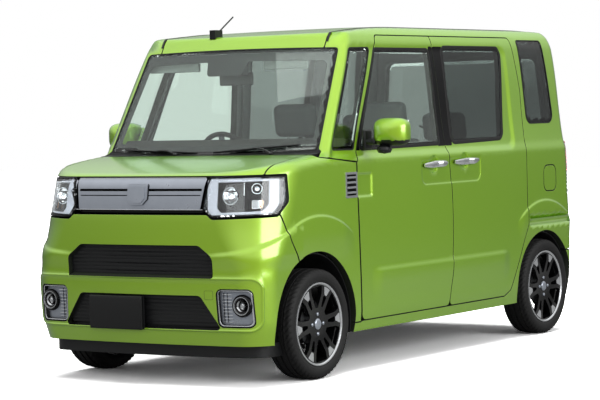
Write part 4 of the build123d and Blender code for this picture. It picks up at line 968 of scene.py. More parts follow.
side_rings = [body_side_ring(), front_quarter_ring, rear_quarter_ring]
TRIMMED = [PAINT, INNER, GLOSS_BLACK]
for name, rides, node_name, finishes, rings, view, form in (
    ("front_door_*_shell", "front_door_*", "front_door_*", TRIMMED, [front_door_ring, front_window_ring],
     "side", dict(hole_gap=0, lines=DOOR_LINES)),
    ("sliding_door_*_shell", "body", "sliding_door_*", TRIMMED, [sliding_door_ring, sliding_window_ring],
     "side", dict(hole_gap=0, lines=SLIDING_LINES)),
    ("body_side_left_shell", "body", "body_side_left", [PAINT, INNER], [*side_rings, flap_ring], SIDE_LOOK,
     dict(hole_gap=0.5, lines=QUARTER_LINES)),
    ("body_side_right_shell", "body", "body_side_right", [PAINT, INNER], side_rings, SIDE_LOOK,
     dict(hole_gap=0.5, lines=QUARTER_LINES)),
    ("fuel_flap_skin", "fuel_flap", "fuel_flap", [PAINT, INNER], [flap_ring], "side", dict(thick=6, gap=3.5)),
    ("front_wing_*", "body", "front_wings", [PAINT, UNDERSEAL], [wing_ring()], (-0.8, 0.25, -0.55),
     dict(lines=WING_LINES)),
    ("bonnet_skin", "bonnet", "bonnet", [PAINT, INNER], [bonnet_ring()], (0, 0.45, -0.9), dict(thick=14)),
    ("front_bumper_skin", "body", "front_bumper", [PAINT, GRAINED],
     [bumper_ring(), upper_ring, lower_ring, fog_ring, fog_ring[::-1] * (-1, 1, 1)], "nose",
     dict(hole_gap=0, lines=NOSE_LINES)),
    ("roof_skin", "body", "roof", [PAINT, CABIN_PLASTIC], [roof_ring()], (0, 0.3, -0.95), dict(gap=0.5)),
    ("tailgate_skin", "tailgate", "tailgate", [PAINT, INNER], [tailgate_ring(), tailgate_glass_ring],
     (0, -0.9, -0.43), dict(hole_gap=0, lines=PLATE_LINES)),
    ("rear_bumper_skin", "body", "rear_bumper", [PAINT, GRAINED], [rear_bumper_ring()], "tail", {}),
):
    skin = Sheet(rings, view, **form)
    if finishes is TRIMMED:
        skin.colour(in_frame, 2)
    # The edge material paints shade into the shut-line gaps.
    if name == "body_side_right_shell":
        skin.put(name, rides, finishes, True, GAP_PAINTED_SHADE, replaces=[node_name], slot="paint")
    else:
        put(skin, name, rides, finishes, node_name, slot="paint", edge=GAP_PAINTED_SHADE)

for name, rides, node_name, ring, view, finish, slot_name in (
    ("laminated_windscreen", "body", "windscreen", windscreen_ring, "front", CLEAR_GLASS, "screen_glass"),
    ("front_door_pane_*", "front_door_*", "front_door_glass_*", front_window_ring, "side", CLEAR_GLASS,
     "screen_glass"),
    ("sliding_door_pane_*", "body", "sliding_door_glass_*", sliding_window_ring, "side", PRIVACY_GLASS,
     "privacy_glass"),
    ("front_quarter_pane_*", "body", "front_quarter_glass", front_quarter_ring, "side", CLEAR_GLASS,
     "screen_glass"),
    ("rear_quarter_pane_*", "body", "rear_quarter_glass", rear_quarter_ring, SIDE_LOOK, PRIVACY_GLASS,
     "privacy_glass"),
    ("tailgate_pane", "tailgate", "tailgate_glass", tailgate_glass_ring, "back", PRIVACY_GLASS,
     "privacy_glass"),
):
    pane = Sheet([ring], view, thick=4, spacing=24, roll=0.8, gap=0.5, depth=2)
    put(pane, name, rides, [finish, finish], node_name, slot=slot_name)


# ---------------------------------------------------------------- solid shapes
def outwards(points, faces):
    """A closed shape with its faces turned so that its volume is above 0."""
    points = np.asarray(points, float)
    volume = 0
    for face in faces:
        a = points[face[0]]
        for i in range(1, len(face) - 1):
            volume += np.dot(a, np.cross(points[face[i]], points[face[i + 1]]))
    return points, [tuple(f)[::1 if volume > 0 else -1] for f in faces]


def grid_quads(number):
    """Quads between the numbered points of a grid."""
    corners = number[:-1, :-1], number[1:, :-1], number[1:, 1:], number[:-1, 1:]
    return np.stack(corners, axis=-1).reshape(-1, 4)


def grid_shape(grid, along=False):
    """Tube from a grid of points, whose rows close on themselves. Its ends are capped, unless it
    closes along its length too."""
    rows, columns = grid.shape[:2]
    number = np.arange(rows * columns).reshape(rows, columns)
    if along:
        number = np.vstack([number, number[:1]])
    number = np.hstack([number, number[:, :1]])
    faces = [tuple(q) for q in grid_quads(number).tolist()]
    if not along:
        faces += [tuple(range(columns)), tuple(range((rows - 1) * columns, rows * columns))[::-1]]
    return outwards(grid.reshape(-1, 3), faces)


def lathe(profile, centre=(0, 0, 0), axis=X, steps=48):
    """Closed shape turned from a profile of (radius, height) rows. The profile runs right round
    its section, or from the axis back to the axis."""
    profile = np.asarray(profile, float)
    axis = np.asarray(axis, float) / np.linalg.norm(axis)
    u = np.cross(axis, Z if abs(axis[2]) < 0.9 else X)
    u /= np.linalg.norm(u)
    v = np.cross(axis, u)
    angle = np.linspace(0, 2 * np.pi, steps, endpoint=False)
    spoke = np.cos(angle)[:, None] * u + np.sin(angle)[:, None] * v
    on_axis = profile[:, 0].min() < 0.01
    r = np.maximum(profile[:, 0], 0.01)
    grid = np.asarray(centre) + r[:, None, None] * spoke + profile[:, 1][:, None, None] * axis
    return grid_shape(grid, along=not on_axis)


def sweep(path, section, up, closed=False, taper=None):
    """Section of (across, up) rows carried along a path. taper scales it at each point."""
    path, section = np.asarray(path, float), np.asarray(section, float)
    if closed:
        heading = np.roll(path, -1, axis=0) - np.roll(path, 1, axis=0)
    else:
        heading = np.gradient(path, axis=0)
    heading /= np.linalg.norm(heading, axis=1, keepdims=True)
    up = np.broadcast_to(np.asarray(up, float), path.shape)
    side = np.cross(heading, up)
    side /= np.linalg.norm(side, axis=1, keepdims=True)
    up = np.cross(side, heading)
    scale = np.ones(len(path)) if taper is None else np.asarray(taper, float)
    offset = side[:, None] * section[None, :, :1] + up[:, None] * section[None, :, 1:]
    return grid_shape(path[:, None] + offset * scale[:, None, None], along=closed)


def round_section(width, height, steps=12, power=2):
    """Section like an ellipse, squarer with a higher power."""
    angle = np.linspace(0, 2 * np.pi, steps, endpoint=False)
    c, s = np.cos(angle), np.sin(angle)
    return np.stack((np.sign(c) * np.abs(c) ** (2 / power) * width / 2,
                     np.sign(s) * np.abs(s) ** (2 / power) * height / 2), axis=-1)


def block(low, high, radius, cuts=3, spacing=None):
    """Box with rounded edges and corners: points of a cube's faces, each moved to the rounding
    radius from the nearest point of the box within."""
    low, high = np.asarray(low, float), np.asarray(high, float)
    half, middle = (high - low) / 2, (high + low) / 2
    radius = min(radius, half.min() * 0.999)
    turn = np.tan(np.linspace(-np.pi / 4, 0, cuts + 1))
    points, faces, total = [], [], 0
    for axis in range(3):
        a, b = (axis + 1) % 3, (axis + 2) % 3
        lines = []
        for other in (a, b):
            edge = half[other] - radius + radius * (1 + turn)
            core = half[other] - radius
            flat_part = np.linspace(-core, core, 2 + int(2 * core / spacing)) if spacing else []
            edge = np.concatenate([-edge[::-1], flat_part, edge])
            lines.append(np.unique(np.round(edge, 4)))
        ga, gb = np.meshgrid(*lines, indexing="ij")
        for side in (-1, 1):
            q = np.zeros((*ga.shape, 3))
            q[..., axis], q[..., a], q[..., b] = side * half[axis], ga, gb
            core = np.clip(q, -(half - radius), half - radius)
            away = q - core
            q = core + radius * away / np.linalg.norm(away, axis=-1, keepdims=True)
            number = total + np.arange(ga.size).reshape(ga.shape)
            quads = grid_quads(number)
            faces.append(quads if side > 0 else quads[:, ::-1])
            points.append(q.reshape(-1, 3))
            total += ga.size
    points = np.concatenate(points)
    _, first, back = np.unique(np.round(points, 3), axis=0, return_index=True, return_inverse=True)
    faces = back.reshape(-1)[np.concatenate(faces)]
    return points[first] + middle, [tuple(f) for f in faces.tolist()]


def slab(rings, front, back, spacing=20):
    """Plate with holes, from flat rings and two functions that place its front and back."""
    flat, faces = triangulate([np.asarray(r, float) for r in rings], spacing)
    count, total, walls = len(flat), 0, []
    for ring in rings:
        walls.append(ring_faces(total, count + total, len(ring)))
        total += len(ring)
    points = np.concatenate([front(flat), back(flat)])
    a, b, c = (points[faces[:, i]] for i in range(3))
    lean = np.sum(np.cross(b - a, c - a) * (points[faces[:, 0]] - points[faces[:, 0] + count]), axis=1)
    faces[lean < 0] = faces[lean < 0][:, ::-1]
    quads = np.concatenate(walls)
    edges = {(face[k], face[(k + 1) % 3]) for face in faces.tolist() for k in range(3)}
    quads = [tuple(q) if (q[1], q[0]) in edges else tuple(q[::-1]) for q in quads.tolist()]
    return points, [tuple(f) for part in (faces, faces[:, ::-1] + count) for f in part.tolist()] + quads


class Build:
    """Closed shapes gathered into one piece, each with a material number."""

    def __init__(self):
        self.points, self.faces, self.slots, self.total = [], [], [], 0

    def add(self, shape, slot=0):
        """Add a closed shape with one material number."""
        points, faces = shape
        self.points.append(np.asarray(points, float))
        self.faces += [tuple(i + self.total for i in f) for f in faces]
        self.slots += [slot] * len(faces)
        self.total += len(points)
        return self

    def add_blocks(self, *rows):
        """Add rounded blocks from rows of (low corner, high corner, radius, material number)."""
        for low, high, radius, slot in rows:
            self.add(block(low, high, radius), slot)

    def put(self, name, rides, materials, mirrored=False, shift=(0, 0, 0), **options):
        """Make the piece, or its mirror image, moved by a shift."""
        points, faces = np.concatenate(self.points), self.faces
        if mirrored:
            points, faces = points * (-1, 1, 1), [f[::-1] for f in faces]
        return new_piece(name, rides, points + shift, faces, materials, self.slots, **options)


def strip(flat, view, width, height, closed=False, depth=0, spacing=10):
    """Moulding along a line of the body's surface."""
    path = place(dense(flat, spacing, closed), view, depth)
    return sweep(path, round_section(width, height, 8, 3), outward(path), closed)


def bead(ring, width, height, depth=0):
    """Rubber along a closed ring of surface points."""
    ring = settled(ring, depth)
    return sweep(ring, round_section(width, height, 8, 3), outward(ring), closed=True)


# ---------------------------------------------------------------- wheels
SPOKE_PAIRS, FIRST_PAIR = 6, 5                # and the angle of the first pair, in degrees
HUB_R, RIM_R = 60, 200
NUT_CIRCLE, NUT_COUNT = 50, 4
TYRE_R, TREAD_FLOOR_R = 281, 274.5
TREAD_STEPS, TREAD_PITCHES = 432, 54
WHEELS = {"front": (652.5, -1145, 281), "rear": (647.5, 1310, 281)}


def turned(points, degrees):
    """Flat points turned round the axle."""
    c, s = math.cos(math.radians(degrees)), math.sin(math.radians(degrees))
    points = np.asarray(points, float)
    return points @ np.array(((c, s), (-s, c)))


def spoke_height(flat):
    """Height of the wheel's face from the middle of the tyre: it dishes in towards the hub."""
    r = np.hypot(flat[:, 0], flat[:, 1])
    return 70 - 9 * (1 - ramp(r, 40, 175))


def tyre_shape():
    """Tyre, as one closed section turned round: an outer line of side wall and tread, and an inner
    line at the rim. The tread's grooves run round it, and its side grooves are cut in by angle."""
    side = [(209, 66), (216, 74), (224, 78), (226, 79.6), (229, 79.6), (231, 80.5), (240, 82.4),
            (250, 82), (258, 80), (264, 77.6), (269, 74.6), (273, 71), (276, 66), (277.6, 61)]
    tread = []
    for middle in (36, 0, -36):
        high, low = TYRE_R - (middle / 60) ** 2 * 1.4, TREAD_FLOOR_R
        tread += [(high, middle + 5.6), (low, middle + 4.4), (low, middle - 4.4), (high, middle - 5.6)]
    half = [(278.2, 56), (278.6, 48)]
    outer = side + half + tread + [(r, -h) for r, h in half[::-1]] + [(r, -h) for r, h in side[::-1]]
    inner = [(204, -60), (204, 0), (204, 60)]
    rows = np.array(outer + inner)
    angle = np.arange(TREAD_STEPS) * 2 * np.pi / TREAD_STEPS
    phase = (np.arange(TREAD_STEPS) * TREAD_PITCHES / TREAD_STEPS)[None, :]
    r, h = rows[:, :1], rows[:, 1:]
    slant = phase + np.abs(h) / 40
    cut = np.clip(1.6 - 7 * np.abs((slant % 1) - 0.5), 0, 1)
    shoulder = ramp(np.abs(h), 40, 44) * ramp(r, 262, 270)
    ribs = 0.5 * (1 + np.cos(phase * 2 * np.pi * 4)) * ramp(r, 254, 258) * (1 - ramp(r, 262, 268))
    wave = np.clip(1.2 - 9 * np.abs(((phase + h / 60) % 1) - 0.5), 0, 1)
    centre = ramp(r, 279, 280.5) * ramp(-np.abs(h), -32, -28) * wave
    radius = r - 4.6 * cut * shoulder - 3 * centre
    side_out = np.sign(h) * ribs * 0.9
    grid = np.stack((h + side_out + 0 * angle, radius * np.cos(angle), radius * np.sin(angle)), axis=-1)
    return grid_shape(grid, along=True)


def rim_shapes():
    """Cast wheel in wheel coordinates, its axle along X: black barrel and spokes, bright lip and tips."""
    made = Build()
    barrel = [(206, 72), (206, 60), (196, 52), (188, 40), (188, -50), (200, -60),
              (204, -73), (208, -73), (204, -58), (193, -48), (193, 38), (201, 52),
              (209, 62), (209, 72)]
    made.add(lathe(barrel, axis=X, steps=96))
    lip = [(198, 66), (200, 71), (205, 75.6), (210.5, 75), (211, 70), (206, 62)]
    made.add(lathe(lip, axis=X, steps=128), 1)
    edge = circle(0, 0, RIM_R, steps=120)[:-1]
    holes, tips = [], []
    window = loop((82, 11, 9), (82, -11, 9), (150, -45, 20), (190, -52, 10),
                  (190, 52, 10), (150, 45, 20))[:-1]
    slot = loop((92, 6.5, 6), (92, -6.5, 6), (146, -15, 9), (151, 0, 20),
                (146, 15, 9))[:-1]
    tip = loop((154, 9, 3), (154, -9, 3), (188, -25, 3), (193, -25, 2),
               (195, 0, 120), (193, 25, 2), (188, 25, 3))[:-1]
    for k in range(SPOKE_PAIRS):
        turn = FIRST_PAIR + k * 360 / SPOKE_PAIRS
        holes.append(turned(dense(window, 9, True), turn + 180 / SPOKE_PAIRS))
        holes.append(turned(dense(slot, 9, True), turn))
        tips.append(turned(dense(tip, 8, True), turn))

    def level_at(lift, thinning=0):
        """Function that places flat points at a height from the wheel's face."""
        return lambda flat: np.column_stack((
            spoke_height(flat) + lift - thinning * (1 - ramp(np.hypot(*flat.T), 60, 150)), flat))

    made.add(slab([edge, *holes], level_at(0), level_at(-24, 6), 13))
    for outline in tips:
        made.add(slab([outline], level_at(0.9), level_at(-1), 13), 1)
    hub = [(0, 60), (HUB_R, 60), (HUB_R + 6, 57), (HUB_R + 6, -10), (0, -10)]
    made.add(lathe(hub, axis=X, steps=64))
    made.add(lathe([(0, 69.5), (18, 69), (25, 67.2), (28, 64), (28, 58), (0, 58)], axis=X, steps=48), 2)
    for k in range(NUT_COUNT):
        y, z = turned([(NUT_CIRCLE, 0)], k * 360 / NUT_COUNT)[0]
        made.add(lathe([(0, 68), (6.5, 67), (9, 65), (10, 59), (0, 59)], (0, y, z), X, 6), 2)
        made.add(lathe([(0, 60.6), (14, 60.6), (16, 59), (0, 59)], (0, y, z), X, 24))
    made.add(lathe([(62, 34), (118, 34), (118, 26), (62, 26)], axis=X, steps=72), 3)
    return made


tyre, rim = Build().add(tyre_shape()), rim_shapes()
for end, (wheel_x, axle_y, axle_z) in WHEELS.items():
    for side_name, sign in (("left", 1), ("right", -1)):
        for name, shapes, finishes, node_name, slot_name in (
            ("tyre_{}_{}_tread", tyre, [TYRE_RUBBER], "tyre", "tyre_rubber"),
            ("wheel_{}_{}_cast", rim, [BLACK_ALLOY, BRIGHT_ALLOY, SATIN_SILVER, BARE_STEEL], "rim", "alloy"),
        ):
            shapes.put(name.format(end, side_name), f"wheel_{end}_{side_name}", finishes, sign < 0,
                       (sign * wheel_x, axle_y, axle_z), replaces=[f"{node_name}_{end}_{side_name}"],
                       slot=slot_name)


# ---------------------------------------------------------------- lamps
def facing(view, u, z, depth, lean=0.5):
    """Point under the surface and a direction between the normal there and straight ahead."""
    at = place([(u, z)], view, depth)
    n = outward(at)[0]
    ahead = np.array((0, -1 if n[1] < 0 else 1, 0))
    axis = n * (1 - lean) + ahead * lean
    return at[0], axis / np.linalg.norm(axis)


def inset(ring, distance):
    """Ring of surface points moved inwards along the surface."""
    away = np.cross(np.roll(ring, -1, axis=0) - np.roll(ring, 1, axis=0), outward(ring))
    away /= np.linalg.norm(away, axis=1, keepdims=True)
    outside = np.sign(np.mean(np.sum((ring - ring.mean(axis=0)) * away, axis=1)))
    return settled(ring - away * outside * distance)


GUIDE_OUT = loop((453, 1036, 16), (787, 1040, 10), (773, 902, 30), (727, 855, 24),
                 (477, 847, 14), (449, 880, 14))
GUIDE_IN = loop((502, 1023, 4), (735, 1021, 4), (722, 907, 22), (692, 875, 18),
                (507, 870, 10), (492, 892, 10))
guide_out, guide_in = (drawn(("nose", ring), spacing=7) for ring in (GUIDE_OUT, GUIDE_IN))
for name, rings, finishes, form in (
    ("lens", [lamp_ring], [LENS, LENS], dict(thick=3, spacing=24, roll=0.8, gap=5, depth=1)),
    ("housing", [lamp_ring], [GLOSS_BLACK, GLOSS_BLACK],
     dict(thick=3, spacing=30, roll=1, gap=9, depth=48)),
    ("rim", [lamp_ring, guide_out], [LAMP_GREY, GLOSS_BLACK],
     dict(thick=40, spacing=14, roll=1.5, gap=6, depth=5, hole_gap=0.5)),
    ("light_guide", [guide_out, guide_in], [LIGHT_GUIDE, LIGHT_GUIDE],
     dict(thick=9, spacing=14, roll=2.5, gap=0, depth=4.5, hole_gap=0)),
    ("bezel", [guide_out, guide_in], [GLOSS_BLACK, GLOSS_BLACK],
     dict(thick=30, spacing=20, roll=1, gap=2, depth=15, hole_gap=0)),
):
    put(Sheet(rings, "nose", **form), f"headlamp_{name}_*", "body", finishes, "headlamps",
        slot="lamp_lens" if name == "lens" else None)
AMBER_FROM_X = 652
AMBER = loop((648, 933, 10), (709, 931, 12), (696, 889, 14), (644, 887, 6))
amber = Sheet([drawn(("nose", AMBER), spacing=5)], "nose", thick=12, spacing=9, roll=3, gap=0, depth=20)
put(amber.colour(lambda p: p[:, 0] < AMBER_FROM_X, 2), "headlamp_indicator_*", "body",
    [AMBER_LENS, AMBER_LENS, REFLECTOR])
lamps = Build()
lamps.add(bead(inset(lamp_ring, 6.5), 6, 5, -0.5), 1)
# Profiles of a lamp's bowl, bezel and lens, for a bowl of 44 mm radius
BOWL = [(0, -24), (12, -22), (32, -12), (41, 0), (44, 1), (44, -6), (33, -20), (0, -30)]
BEZEL = [(38, 2), (40, 6), (44, 6), (45, 2), (44, -3)]
LENS_DOME = [(0, 10), (12, 8), (20, 3), (23, -4), (20, -10), (0, -14)]
for u, z, size, lean, steps, bowl_slot in ((680, 982, 0.6, 0.35, 28, 1), (562, 950, 1, 0.7, 10, 0)):
    at, axis = facing("nose", u, z, 24, lean)
    lamps.add(lathe(np.array(BOWL) * size, at, axis, steps), bowl_slot)
    lamps.add(lathe(np.array(BEZEL) * size, at, axis, 40), 0)
    lamps.add(lathe(np.array(LENS_DOME) * size, at, axis, 32), 2)
for lift in (-22, 22):
    lamps.add(block(at + (-42, -8, lift - 4), at + (30, 4, lift + 4), 3), 1)
lamps.add(strip([(624, 1018), (617, 950)], "nose", 4, 10, depth=18), 0)
lamps.add(strip([(615, 940), (612, 880)], "nose", 3, 10, depth=18), 1)
lamps.add(strip([(622, 942), (722, 940)], "nose", 4, 12, depth=18), 1)
put(lamps, "headlamp_projectors_*", "body", [REFLECTOR, GLOSS_BLACK, MIRROR_GLASS])

FOG_INNER = loop((487, 314, 24), (662, 314, 24), (657, 484, 20), (481, 484, 12))
fog_panel = Sheet([fog_ring], "nose", thick=8, spacing=24, roll=1.5, gap=1, depth=26)
put(fog_panel, "fog_lamp_panel_*", "body", [SATIN_SILVER, SATIN_BLACK], "fog_lamps")
fog_frame = Sheet([fog_ring, drawn(("front", FOG_INNER), spacing=8)], "nose", thick=24, spacing=20, roll=3,
                  gap=5, depth=4, hole_gap=0)
put(fog_frame, "fog_lamp_frame_*", "body", [CHROME, SATIN_BLACK], "fog_lamps")
fog = Build()
at, axis = facing("front", 606, 412, 14, 0.75)
for rows, slot_number in (
    ([(45, -3), (45, 5), (49, 8), (53, 5), (56, 0), (56, -12), (45, -12)], 1),
    ([(40, 3), (42, 8), (45, 8), (47, 3), (46, -2), (40, -2)], 3),
    ([(30, -6), (33, -4), (40, 0), (40, -4), (30, -10)], 1),
    ([(0, -14), (10, -13), (28, -7), (31, -3), (31, -8), (0, -18)], 0),
    ([(16, -6), (17, -1), (20, -1), (21, -6), (18, -10)], 1),
    ([(0, 3), (7, 2), (11, -2), (11, -13), (0, -13)], 3),
):
    fog.add(lathe(rows, at, axis, 56), slot_number)
for k in range(9):
    z = 330 + 17 * k
    fog.add(strip([(494, z), (548, z)], "front", 3.5, 5, depth=24), 0)
for u, w in ((500, 2.4), (520, 2)):
    fog.add(strip([(u, 326), (u, 474)], "front", w, 5, depth=23), 1)
put(fog, "fog_lamp_bowl_*", "body", [REFLECTOR, GLOSS_BLACK, LENS, CHROME], "fog_lamps")

# Grille bar, its slots and plain pad
SLOT = loop((-386, 976, 2), (-60, 976, 2), (-60, 988, 2), (-386, 988, 2))
GROOVE = loop((-380, 952.5, 1), (-63, 952.5, 1), (-63, 957, 1), (-380, 957, 1))
holes = [drawn(("front", ring * (side, 1)), spacing=10) for ring in (SLOT, GROOVE) for side in (1, -1)]
bar = Sheet([grille_ring, *holes], "front", thick=16, roll=1.2, gap=3, hole_gap=0)
put(bar, "grille_bar", "body", [SATIN_SILVER, GLOSS_BLACK], "front_grille", slot="silver_trim")


def at_depth(view, depth):
    """Function that places flat points at a depth below the body's surface."""
    return lambda flat: place(flat, view, depth)


grille = Build()
PAD = loop((-62, 1011, 8), (62, 1011, 8), (62, 936, 8), (34, 908, 8), (-34, 908, 8), (-62, 936, 8))[:-1]
# The pad, the dark step round it and the raised field on it
for outline, front_depth, back_depth, number in (
    (dense(PAD, 8, True), -9, 4, 0),
    (dense(PAD * (1.09, 1) + (0, 0.5), 8, True), -2, 4, 1),
    (dense(PAD * (0.8, 1), 8, True) * (1, 0.8) + (0, 191.5), -12, -7, 0),
):
    grille.add(slab([outline], at_depth("front", front_depth), at_depth("front", back_depth), 14), number)
for z in (1040, 884):
    grille.add(strip([(-400, z), (400, z)], "front", 3, 4, depth=-0.5), 2)
grille.put("grille_pad", "body", [SATIN_SILVER, GLOSS_BLACK, CHROME], sharp=28)
backing = Sheet([grille_ring], "front", thick=3, roll=0.5, gap=-12, depth=24)
put(backing, "grille_backing", "body", [GLOSS_BLACK, GLOSS_BLACK])

# Bars of the two lower openings, the tow cover and the valance under the bumper
BAR_PITCH = 19
mesh = Build()
# Rows of bars: their lowest and highest, half length, and how that narrows above a height
for low, high, half, narrow_z, narrowing in ((566, 700, 438, 640, 1.25), (312, 452, 470, 300, 0.72)):
    for z in np.arange(low, high, BAR_PITCH):
        reach = half - max(0, z - narrow_z) * narrowing
        mesh.add(strip([(-reach, z), (reach, z)], "front", 14, 5, depth=26, spacing=30))
for x in np.arange(-350, 351, 100):
    mesh.add(strip([(x, 556), (x, 698)], "front", 4, 9, depth=30, spacing=30))
cover = loop((404, 441, 6), (453, 441, 6), (453, 485, 6), (404, 485, 6))[:-1]
mesh.add(strip(cover, "front", 1.6, 0.8, closed=True, depth=0.2, spacing=6))
edge = place(dense([(-820, 222), (820, 222)], 18), "nose", 55)
mesh.add(sweep(edge - (0, 0, 42), [(-3, -34), (3, -34), (3, 34), (-3, 34)], Z))
mesh.put("bumper_mesh_bars", "body", [SATIN_BLACK], sharp=30)
plate = Build()
plate.add_blocks(((-300, -1716, 281), (34, -1702, 450), 5, 0), ((-292, -1718, 289), (26, -1715, 442), 1.4, 0))
plate.put("front_plate_blank", "body", [BLANK_PLATE])

# ---------------------------------------------------------------- mirrors, handles and side trim
def dome(low, high, power, front_share, steps=56, rows=20):
    """Mirror cap: rounded rectangles whose size follows a quarter ellipse from the front back."""
    low, high = np.array(low), np.array(high)
    half, middle = (high - low) / 2, (high + low) / 2
    angle = np.linspace(0, 2 * np.pi, steps, endpoint=False)
    c, s = np.cos(angle), np.sin(angle)
    x = np.sign(c) * np.abs(c) ** (2 / power)
    z = np.sign(s) * np.abs(s) ** (2 / power)
    top = np.where(z > 0, 1 - 0.10 * np.abs(x) ** 3, 1)
    t = np.linspace(0, 1, rows)
    size = np.sin(np.clip(t / front_share, 0.03, 1) * np.pi / 2) ** 0.42
    size = size * (1 - 0.05 * np.clip((t - front_share) / (1 - front_share), 0, 1) ** 2)
    y = low[1] + (high[1] - low[1]) * t
    grid = np.stack((middle[0] + half[0] * size[:, None] * x, y[:, None] + 0 * x,
                     middle[2] + half[2] * size[:, None] * z * top), axis=-1)
    return grid_shape(grid)


mirror = Build()
points, faces = dome((776, -720, 1168), (973, -612, 1312), 4.2, 0.62)
middles = np.array([points[list(face)].mean(axis=0) for face in faces])
mirror.add((points, faces))
# The cap is painted; its foot and the face round the glass are black
mirror.slots = ((middles[:, 2] < 1196) | (middles[:, 1] > -613)).astype(int).tolist()
mirror.add_blocks(((790, -616, 1182), (958, -609.5, 1300), 3, 2), ((738, -698, 1174), (800, -640, 1206), 13, 1),
                  ((722, -700, 1150), (744, -628, 1252), 9, 1))
mirror.add(lathe([(0, 26), (20, 24), (36, 12), (40, -2), (32, -18), (0, -24)], (838, -664, 1150), Z, 40), 1)
put(mirror, "door_mirror_shell_*", "front_door_*", [PAINT, SATIN_BLACK, MIRROR_GLASS], "door_mirror_*",
    slot="paint")


def handle(made, y0, y1, z0, z1):
    """Grip bar over its bowl: an oval section whose size and lift fall to its ends."""
    t = np.linspace(0, 1, 28)
    flat = np.column_stack((y0 + (y1 - y0) * t, z0 + (z1 - z0) * t))
    base = place(flat, "side")
    swell = np.sin(np.pi * np.clip(t, 0.02, 0.98)) ** 0.45
    lift = outward(base) * (10 + 19 * swell)[:, None]
    made.add(sweep(base + lift, round_section(38, 15, 16, 2.4), outward(base), taper=0.25 + 0.75 * swell))
    for k in (2, 25):
        made.add(block(base[k] - (16, 10, 9), base[k] + (19, 10, 9), 5), 1)


for name, rides, ends in (("front", "front_door_*", (-104, 146, 1047, 1053)),
                          ("rear", "body", (226, 492, 1056, 1060))):
    grip = Build()
    handle(grip, *ends)
    put(grip, f"{name}_door_handle_*", rides, [CHROME, SATIN_BLACK])

trim = Build()
frame_ring = loop((-888, 905, 6), (-775, 905, 4), (-775, 1038, 4), (-888, 1038, 6))
inner_ring = loop((-876, 917, 3), (-787, 917, 3), (-787, 1026, 3), (-876, 1026, 3))
garnish = [dense(ring[:-1], 9, True) for ring in (frame_ring, inner_ring)]
trim.add(slab(garnish, at_depth("side", -4), at_depth("side", 2), 14), 0)
trim.add(slab(garnish[1:], at_depth("side", -1), at_depth("side", 2), 14), 1)
for k in range(4):
    z = 932 + 26 * k
    trim.add(strip([(-874, z), (-789, z)], "side", 11, 5, depth=-2), 0)
put(trim, "wing_garnish_*", "body", [CHROME, GLOSS_BLACK])

for name, ring, width, height, rides in (
    ("front_door_window_seal_*", front_window_ring, 18, 5, "front_door_*"),
    ("sliding_door_window_seal_*", sliding_window_ring, 22, 5, "body"),
    ("front_quarter_window_seal_*", front_quarter_ring, 9, 5, "body"),
    ("rear_quarter_window_seal_*", rear_quarter_ring, 7, 5, "body"),
    ("windscreen_seal", windscreen_ring, 9, 4, "body"),
    ("tailgate_glass_seal", tailgate_glass_ring, 10, 4, "tailgate"),
):
    put(Build().add(bead(ring, width, height, 0.5)), name, rides, [RUBBER_SEAL])

# Cowl between bonnet and windscreen, its slots, and the dark band round the windscreen
t = np.linspace(1, -1, 60)
COWL_FRONT_Y, COWL_REAR_Y, WIPER_Y = -1110, -1084, -1097
cowl_rear = np.column_stack((640 * t, 42 * t ** 2 + COWL_REAR_Y))
cowl_ring = drawn(("top", [(-648, COWL_FRONT_Y), (648, COWL_FRONT_Y)]), ("top", cowl_rear))
cowl = Sheet([cowl_ring], (0, 0.3, -0.95), thick=12, roll=1.5, gap=0.5, depth=2)
put(cowl, "cowl_cover", "body", [GRAINED, GRAINED])
slots = Build()
for x in np.arange(-560, 561, 28):
    slots.add(strip([(x, -1106), (x, -1092)], "top", 12, 3, depth=2, spacing=6))
slots.put("cowl_air_slots", "body", [GLOSS_BLACK])
FRIT_INNER = loop((-622, 1190, 30), (622, 1190, 30), (574, 1622, 40), (80, 1632, 10),
                  (60, 1556, 30), (-168, 1556, 30), (-188, 1632, 10), (-574, 1622, 40))
frit_inner = drawn(("front", FRIT_INNER), spacing=9)
frit = Sheet([windscreen_ring, frit_inner], "front", thick=0.8, roll=0.3, gap=3, depth=7.5, hole_gap=0)
put(frit, "windscreen_frit", "body", [FRIT, FRIT])

wipers = Build()
for x0, z0, x1, z1, pivot in ((-560, 1168, -60, 1150, -190), (40, 1152, 560, 1186, 420)):
    t = np.linspace(0, 1, 24)
    blade = place(np.column_stack((x0 + (x1 - x0) * t, z0 + (z1 - z0) * t)), "front", -9)
    thinned = 0.5 + 0.5 * np.sin(np.pi * t) ** 0.4
    wipers.add(sweep(blade, round_section(9, 16, 8, 3), outward(blade), taper=thinned))
    foot = place([(pivot, WIPER_Y)], "top", -6)[0]
    tip = blade[11] + outward(blade[11:12])[0] * 10
    arm = foot + (tip - foot) * t[:, None] + np.array((0, 0, 9)) * np.sin(np.pi * t)[:, None]
    wipers.add(sweep(arm, round_section(17, 9, 8, 3), Z, taper=1.1 - 0.4 * t))
    wipers.add(lathe([(0, 8), (8, 7), (12, 3), (13, -12), (0, -12)], foot, (0, -0.4, 0.9), 24))
wipers.put("windscreen_wipers", "body", [SATIN_BLACK])

roof_trim = Build()
for sign in (1, -1):
    roof_line = [(sign * (540 - 12 * ramp(y, -740, -500)), y) for y in np.linspace(-726, 1590, 70)]
    roof_trim.add(strip(roof_line, "top", 13, 5, depth=-0.5, spacing=30))
roof_trim.put("roof_ditch_mouldings", "body", [SATIN_BLACK])

